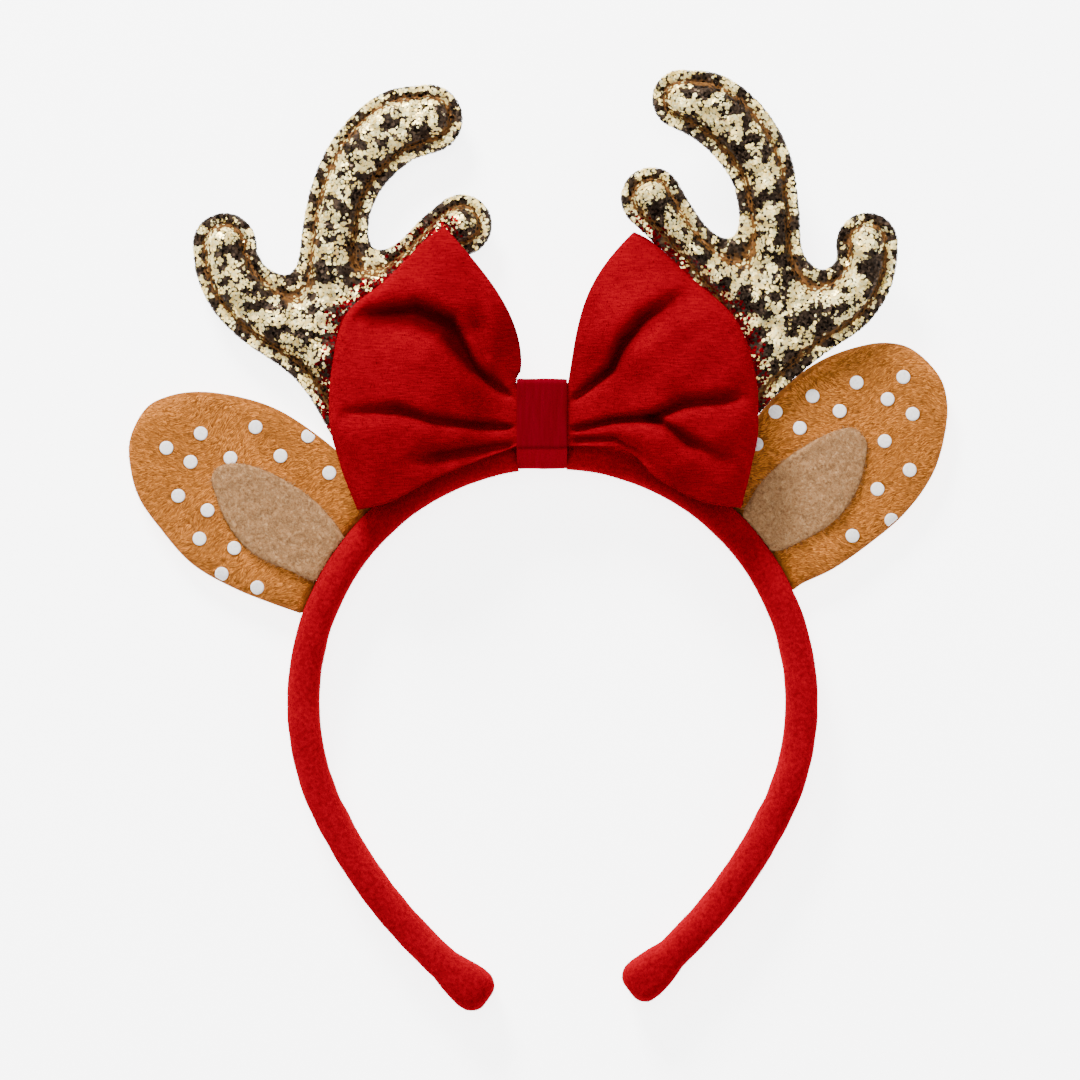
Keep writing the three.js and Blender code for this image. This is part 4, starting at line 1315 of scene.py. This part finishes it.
def spots_on_ear(name, field, side, look):
    """White printed spots: low discs that follow the ear, drawn in where the ear's edge cuts them."""
    table = SPOTS[side]
    angle = circle(SPOT_SIDES)
    radius = np.array(SPOT_PROFILE["reach"])[:, None] * SPOT_RADIUS
    x = np.array(table["x"])[:, None, None] + radius * np.cos(angle)
    y = np.array(table["y"])[:, None, None] + radius * np.sin(angle)
    gx, gy = slope(field, x, y)
    over = np.maximum(field(x, y) + SPOT_FROM_EDGE, 0)
    x, y = x - gx * over, y - gy * over
    z = EAR_LEVEL + ear_rise(np.maximum(-field(x, y), 0)) + np.array(SPOT_PROFILE["height"])[:, None]
    points = np.stack([x, y, z], -1)
    faces = stacks(len(x), len(radius), SPOT_SIDES, True)
    return piece(name, points.reshape(-1, 3), faces, look)


def ear(side, antler_outline, ground, pile_look, print_look):
    """A padded plush ear: its body, its lying pile and its printed spots."""
    name = SIDE_NAME[side]
    field = ear_field(side, antler_outline)
    root_x, root_y = root_point(EAR_ANGLE[side], side)
    ax, ay = side * math.cos(EAR_RISE[side]), math.sin(EAR_RISE[side])
    centre = (root_x + ax * EAR_MIDDLE * EAR_LENGTH, root_y + ay * EAR_MIDDLE * EAR_LENGTH)

    def heights(x, y, depth):
        rise = ear_rise(depth)
        return EAR_LEVEL + rise, EAR_LEVEL - rise

    reach = EAR_GRID * EAR_LENGTH
    points, faces = plate(field, centre, reach, PLATE_CELL, heights, PLATE_WALL_ROWS, EAR_BULGE)
    body = piece(f"ear_{name}_body", points, faces, ground)
    roots, normals = scatter(points, faces, EAR_FIBRES)
    x, y = roots[:, 0], roots[:, 1]
    table = SPOTS[side]
    away = np.hypot(x[:, None] - table["x"], y[:, None] - table["y"]).min(1)
    clear = ((away > SPOT_RADIUS) | (roots[:, 2] < EAR_LEVEL)) & (in_chunks(field, x, y) < -PILE_FROM_EDGE)
    roots, normals, x, y = roots[clear], normals[clear], x[clear], y[clear]
    count = len(roots)
    swirl = 0.4 * ripple(x, y, 26, 91 + side) + 0.16 * ripple(x, y, 5, 95 + side)
    heading = math.atan2(ay, ax) - side * 0.7 + swirl + rng.normal(size=count) * 0.16
    lean = heading_to(heading, normals)
    tone = 0.95 + 0.07 * ripple(x, y, 12, 101 + side) + 0.13 * ripple(x, y, 1.6, 105 + side)
    tone = np.clip(tone + rng.normal(size=count) * 0.2, 0.3, 1.5)[:, None]
    colors = np.array(PLUSH_TAN) * tone + np.array(PLUSH_LIGHT) * (tone > 1.15)
    length = rng.uniform(*PLUSH_FIBRE["length"], count)
    rise = rng.uniform(*PLUSH_FIBRE["rise"], count)
    width = PLUSH_FIBRE["width"]
    roots = roots - normals * FIBRE_SINK
    coat = fibres(f"ear_{name}_pile", roots, normals, lean, length, width, rise, pile_look, colors)
    prints = spots_on_ear(f"ear_{name}_spots", field, side, print_look)
    return body, coat, prints


def inner_ear(side, ground, fibre_look):
    """A felt leaf on the ear: an even plate with a slightly rough face and loose fibres on it."""
    name = SIDE_NAME[side]
    outline = leaf_outline(FELT_ROWS[side], FELT_LENGTH, FELT_WIDTH, EAR_ANGLE[side], EAR_RISE[side], side)
    leaf = outline_field(outline)

    def field(x, y):
        return np.maximum(leaf(x, y), band_keep_out(x, y))

    base = EAR_LEVEL + EAR_THICKNESS / 2 + FIT_GAP

    def heights(x, y, depth):
        height, size = FELT_ROUGHNESS
        drop = FELT_EDGE_DROP * (1 - smooth(depth / FELT_EDGE_RUN))
        return base + FELT_THICKNESS + height * ripple(x, y, size, 111) - drop, np.full_like(depth, base)

    centre, reach = outline.mean(0), FELT_GRID * FELT_LENGTH
    points, faces = plate(field, centre, reach, FELT_CELL, heights, FELT_WALL_ROWS, FELT_BULGE)
    body = piece(f"inner_ear_{name}_leaf", points, faces, ground)
    roots, normals = scatter(points, faces, FELT_FIBRES)
    shown = roots[:, 2] > base + 0.2
    roots, normals = roots[shown], normals[shown]
    count = len(roots)
    heading = rng.uniform(0, 2 * math.pi, count)
    lean = heading_to(heading, normals)
    tone = rng.choice([0.55, 0.8, 1.0, 1.25], count)[:, None]
    colors = np.array(FELT_TAUPE) * tone
    length = rng.uniform(*FELT_FIBRE["length"], count)
    width, rise = FELT_FIBRE["width"], FELT_FIBRE["rise"]
    fuzz = fibres(f"inner_ear_{name}_fibres", roots, normals, lean, length, width, rise, fibre_look, colors)
    x, y = outline.T
    area = 0.5 * abs(np.sum(x * np.roll(y, -1) - y * np.roll(x, -1)))
    return body, fuzz, area


def camera():
    """Camera straight above, with the frame's top towards the antlers."""
    data = bpy.data.cameras.new("camera")
    data.sensor_width = SENSOR
    data.lens = SENSOR * (CAMERA_HEIGHT - VIEW_LEVEL) / VIEW_WIDTH
    data.clip_start = CLIP_START
    place = np.array([*VIEW_CENTRE, CAMERA_HEIGHT]) * MM
    bpy.context.scene.camera = stand("camera", data, place)


def soft_light(name, place, size, power):
    """Square soft light, turned to the object."""
    data = bpy.data.lights.new(name, "AREA")
    data.size = size
    data.energy = power
    x, y, z = np.array(place) - LIGHT_AIM
    stand(name, data, place).rotation_euler = (math.atan2(math.hypot(x, y), z), 0, math.atan2(x, -y))


def sky():
    """Faint even light from all round."""
    world = bpy.data.worlds.new("studio")
    world.use_nodes = True
    background = world.node_tree.nodes["Background"]
    background.inputs["Color"].default_value = (*SKY, 1)
    background.inputs["Strength"].default_value = SKY_STRENGTH
    bpy.context.scene.world = world


def table_top():
    """Pale table under the object."""
    corners = [(-1, -1), (1, -1), (1, 1), (-1, 1)]
    points = [(TABLE_HALF * x, TABLE_HALF * y, TABLE_LEVEL) for x, y in corners]
    made = piece("table_top", points, np.array([[0, 1, 2, 3]]), table_look())


def settle(made, slot, *nodes):
    """A finished piece rides on the only body and hides the nodes it replaces; its slot is not used."""
    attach(made, "root")
    if nodes:
        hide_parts(*nodes)


camera()

# The headband's velvet is painted brighter, as painted light
hoop, hoop_points, hoop_faces = headband(velvet_look("velvet_hoop", (0.6, 0.6, 1.0), HOOP_PAINTED_LIGHT, False))
settle(hoop, "velvet", "headband")

bow_cloth, bow_points, bow_skin = bow(velvet_look("velvet_bow", (0.22, 1.5, 0.5), 1, True))
settle(bow_cloth, "velvet", "bow")

loose = velvet_pile_look()
# The bow's fibres take the painted shade of its folds
bow_pile = pile("bow_pile", bow_points, bow_skin, BOW_FIBRES, BOW_FIBRE_LENGTH, loose, bow_painted_fold_shade)
hoop_pile = pile("headband_pile", hoop_points, hoop_faces, BAND_FIBRES, BAND_FIBRE_LENGTH, loose, hoop_painted_light)
settle(bow_pile, "velvet")
settle(hoop_pile, "velvet")

band, ribbon_length = ribbon(satin_look())
settle(band, "satin_ribbon", "bow_knot")

ground_look, gold_look, sewing_look = glitter_ground_look(), flake_look(), thread_look()
coat_ground, coat_look, print_look = plush_ground_look(), plush_pile_look(), spot_look()
leaf_look, leaf_fibre_look = felt_look(), felt_pile_look()
for side in (-1, 1):
    name = SIDE_NAME[side]
    antler_body, glitter, seam = antler(side, ground_look, gold_look, sewing_look)
    settle(antler_body, "glitter_fabric", f"antler_{name}")
    settle(glitter, "glitter_fabric")
    settle(seam, "glitter_fabric")

    ear_body, coat, prints = ear(side, antler_field(side), coat_ground, coat_look, print_look)
    settle(ear_body, "plush", f"ear_{name}")
    settle(coat, "plush")
    settle(prints, "plush")

    leaf, fuzz, leaf_area = inner_ear(side, leaf_look, leaf_fibre_look)
    settle(leaf, "felt", f"inner_ear_{name}")
    settle(fuzz, "felt")

table_top()
for light in LIGHTS:
    soft_light(**light)
sky()
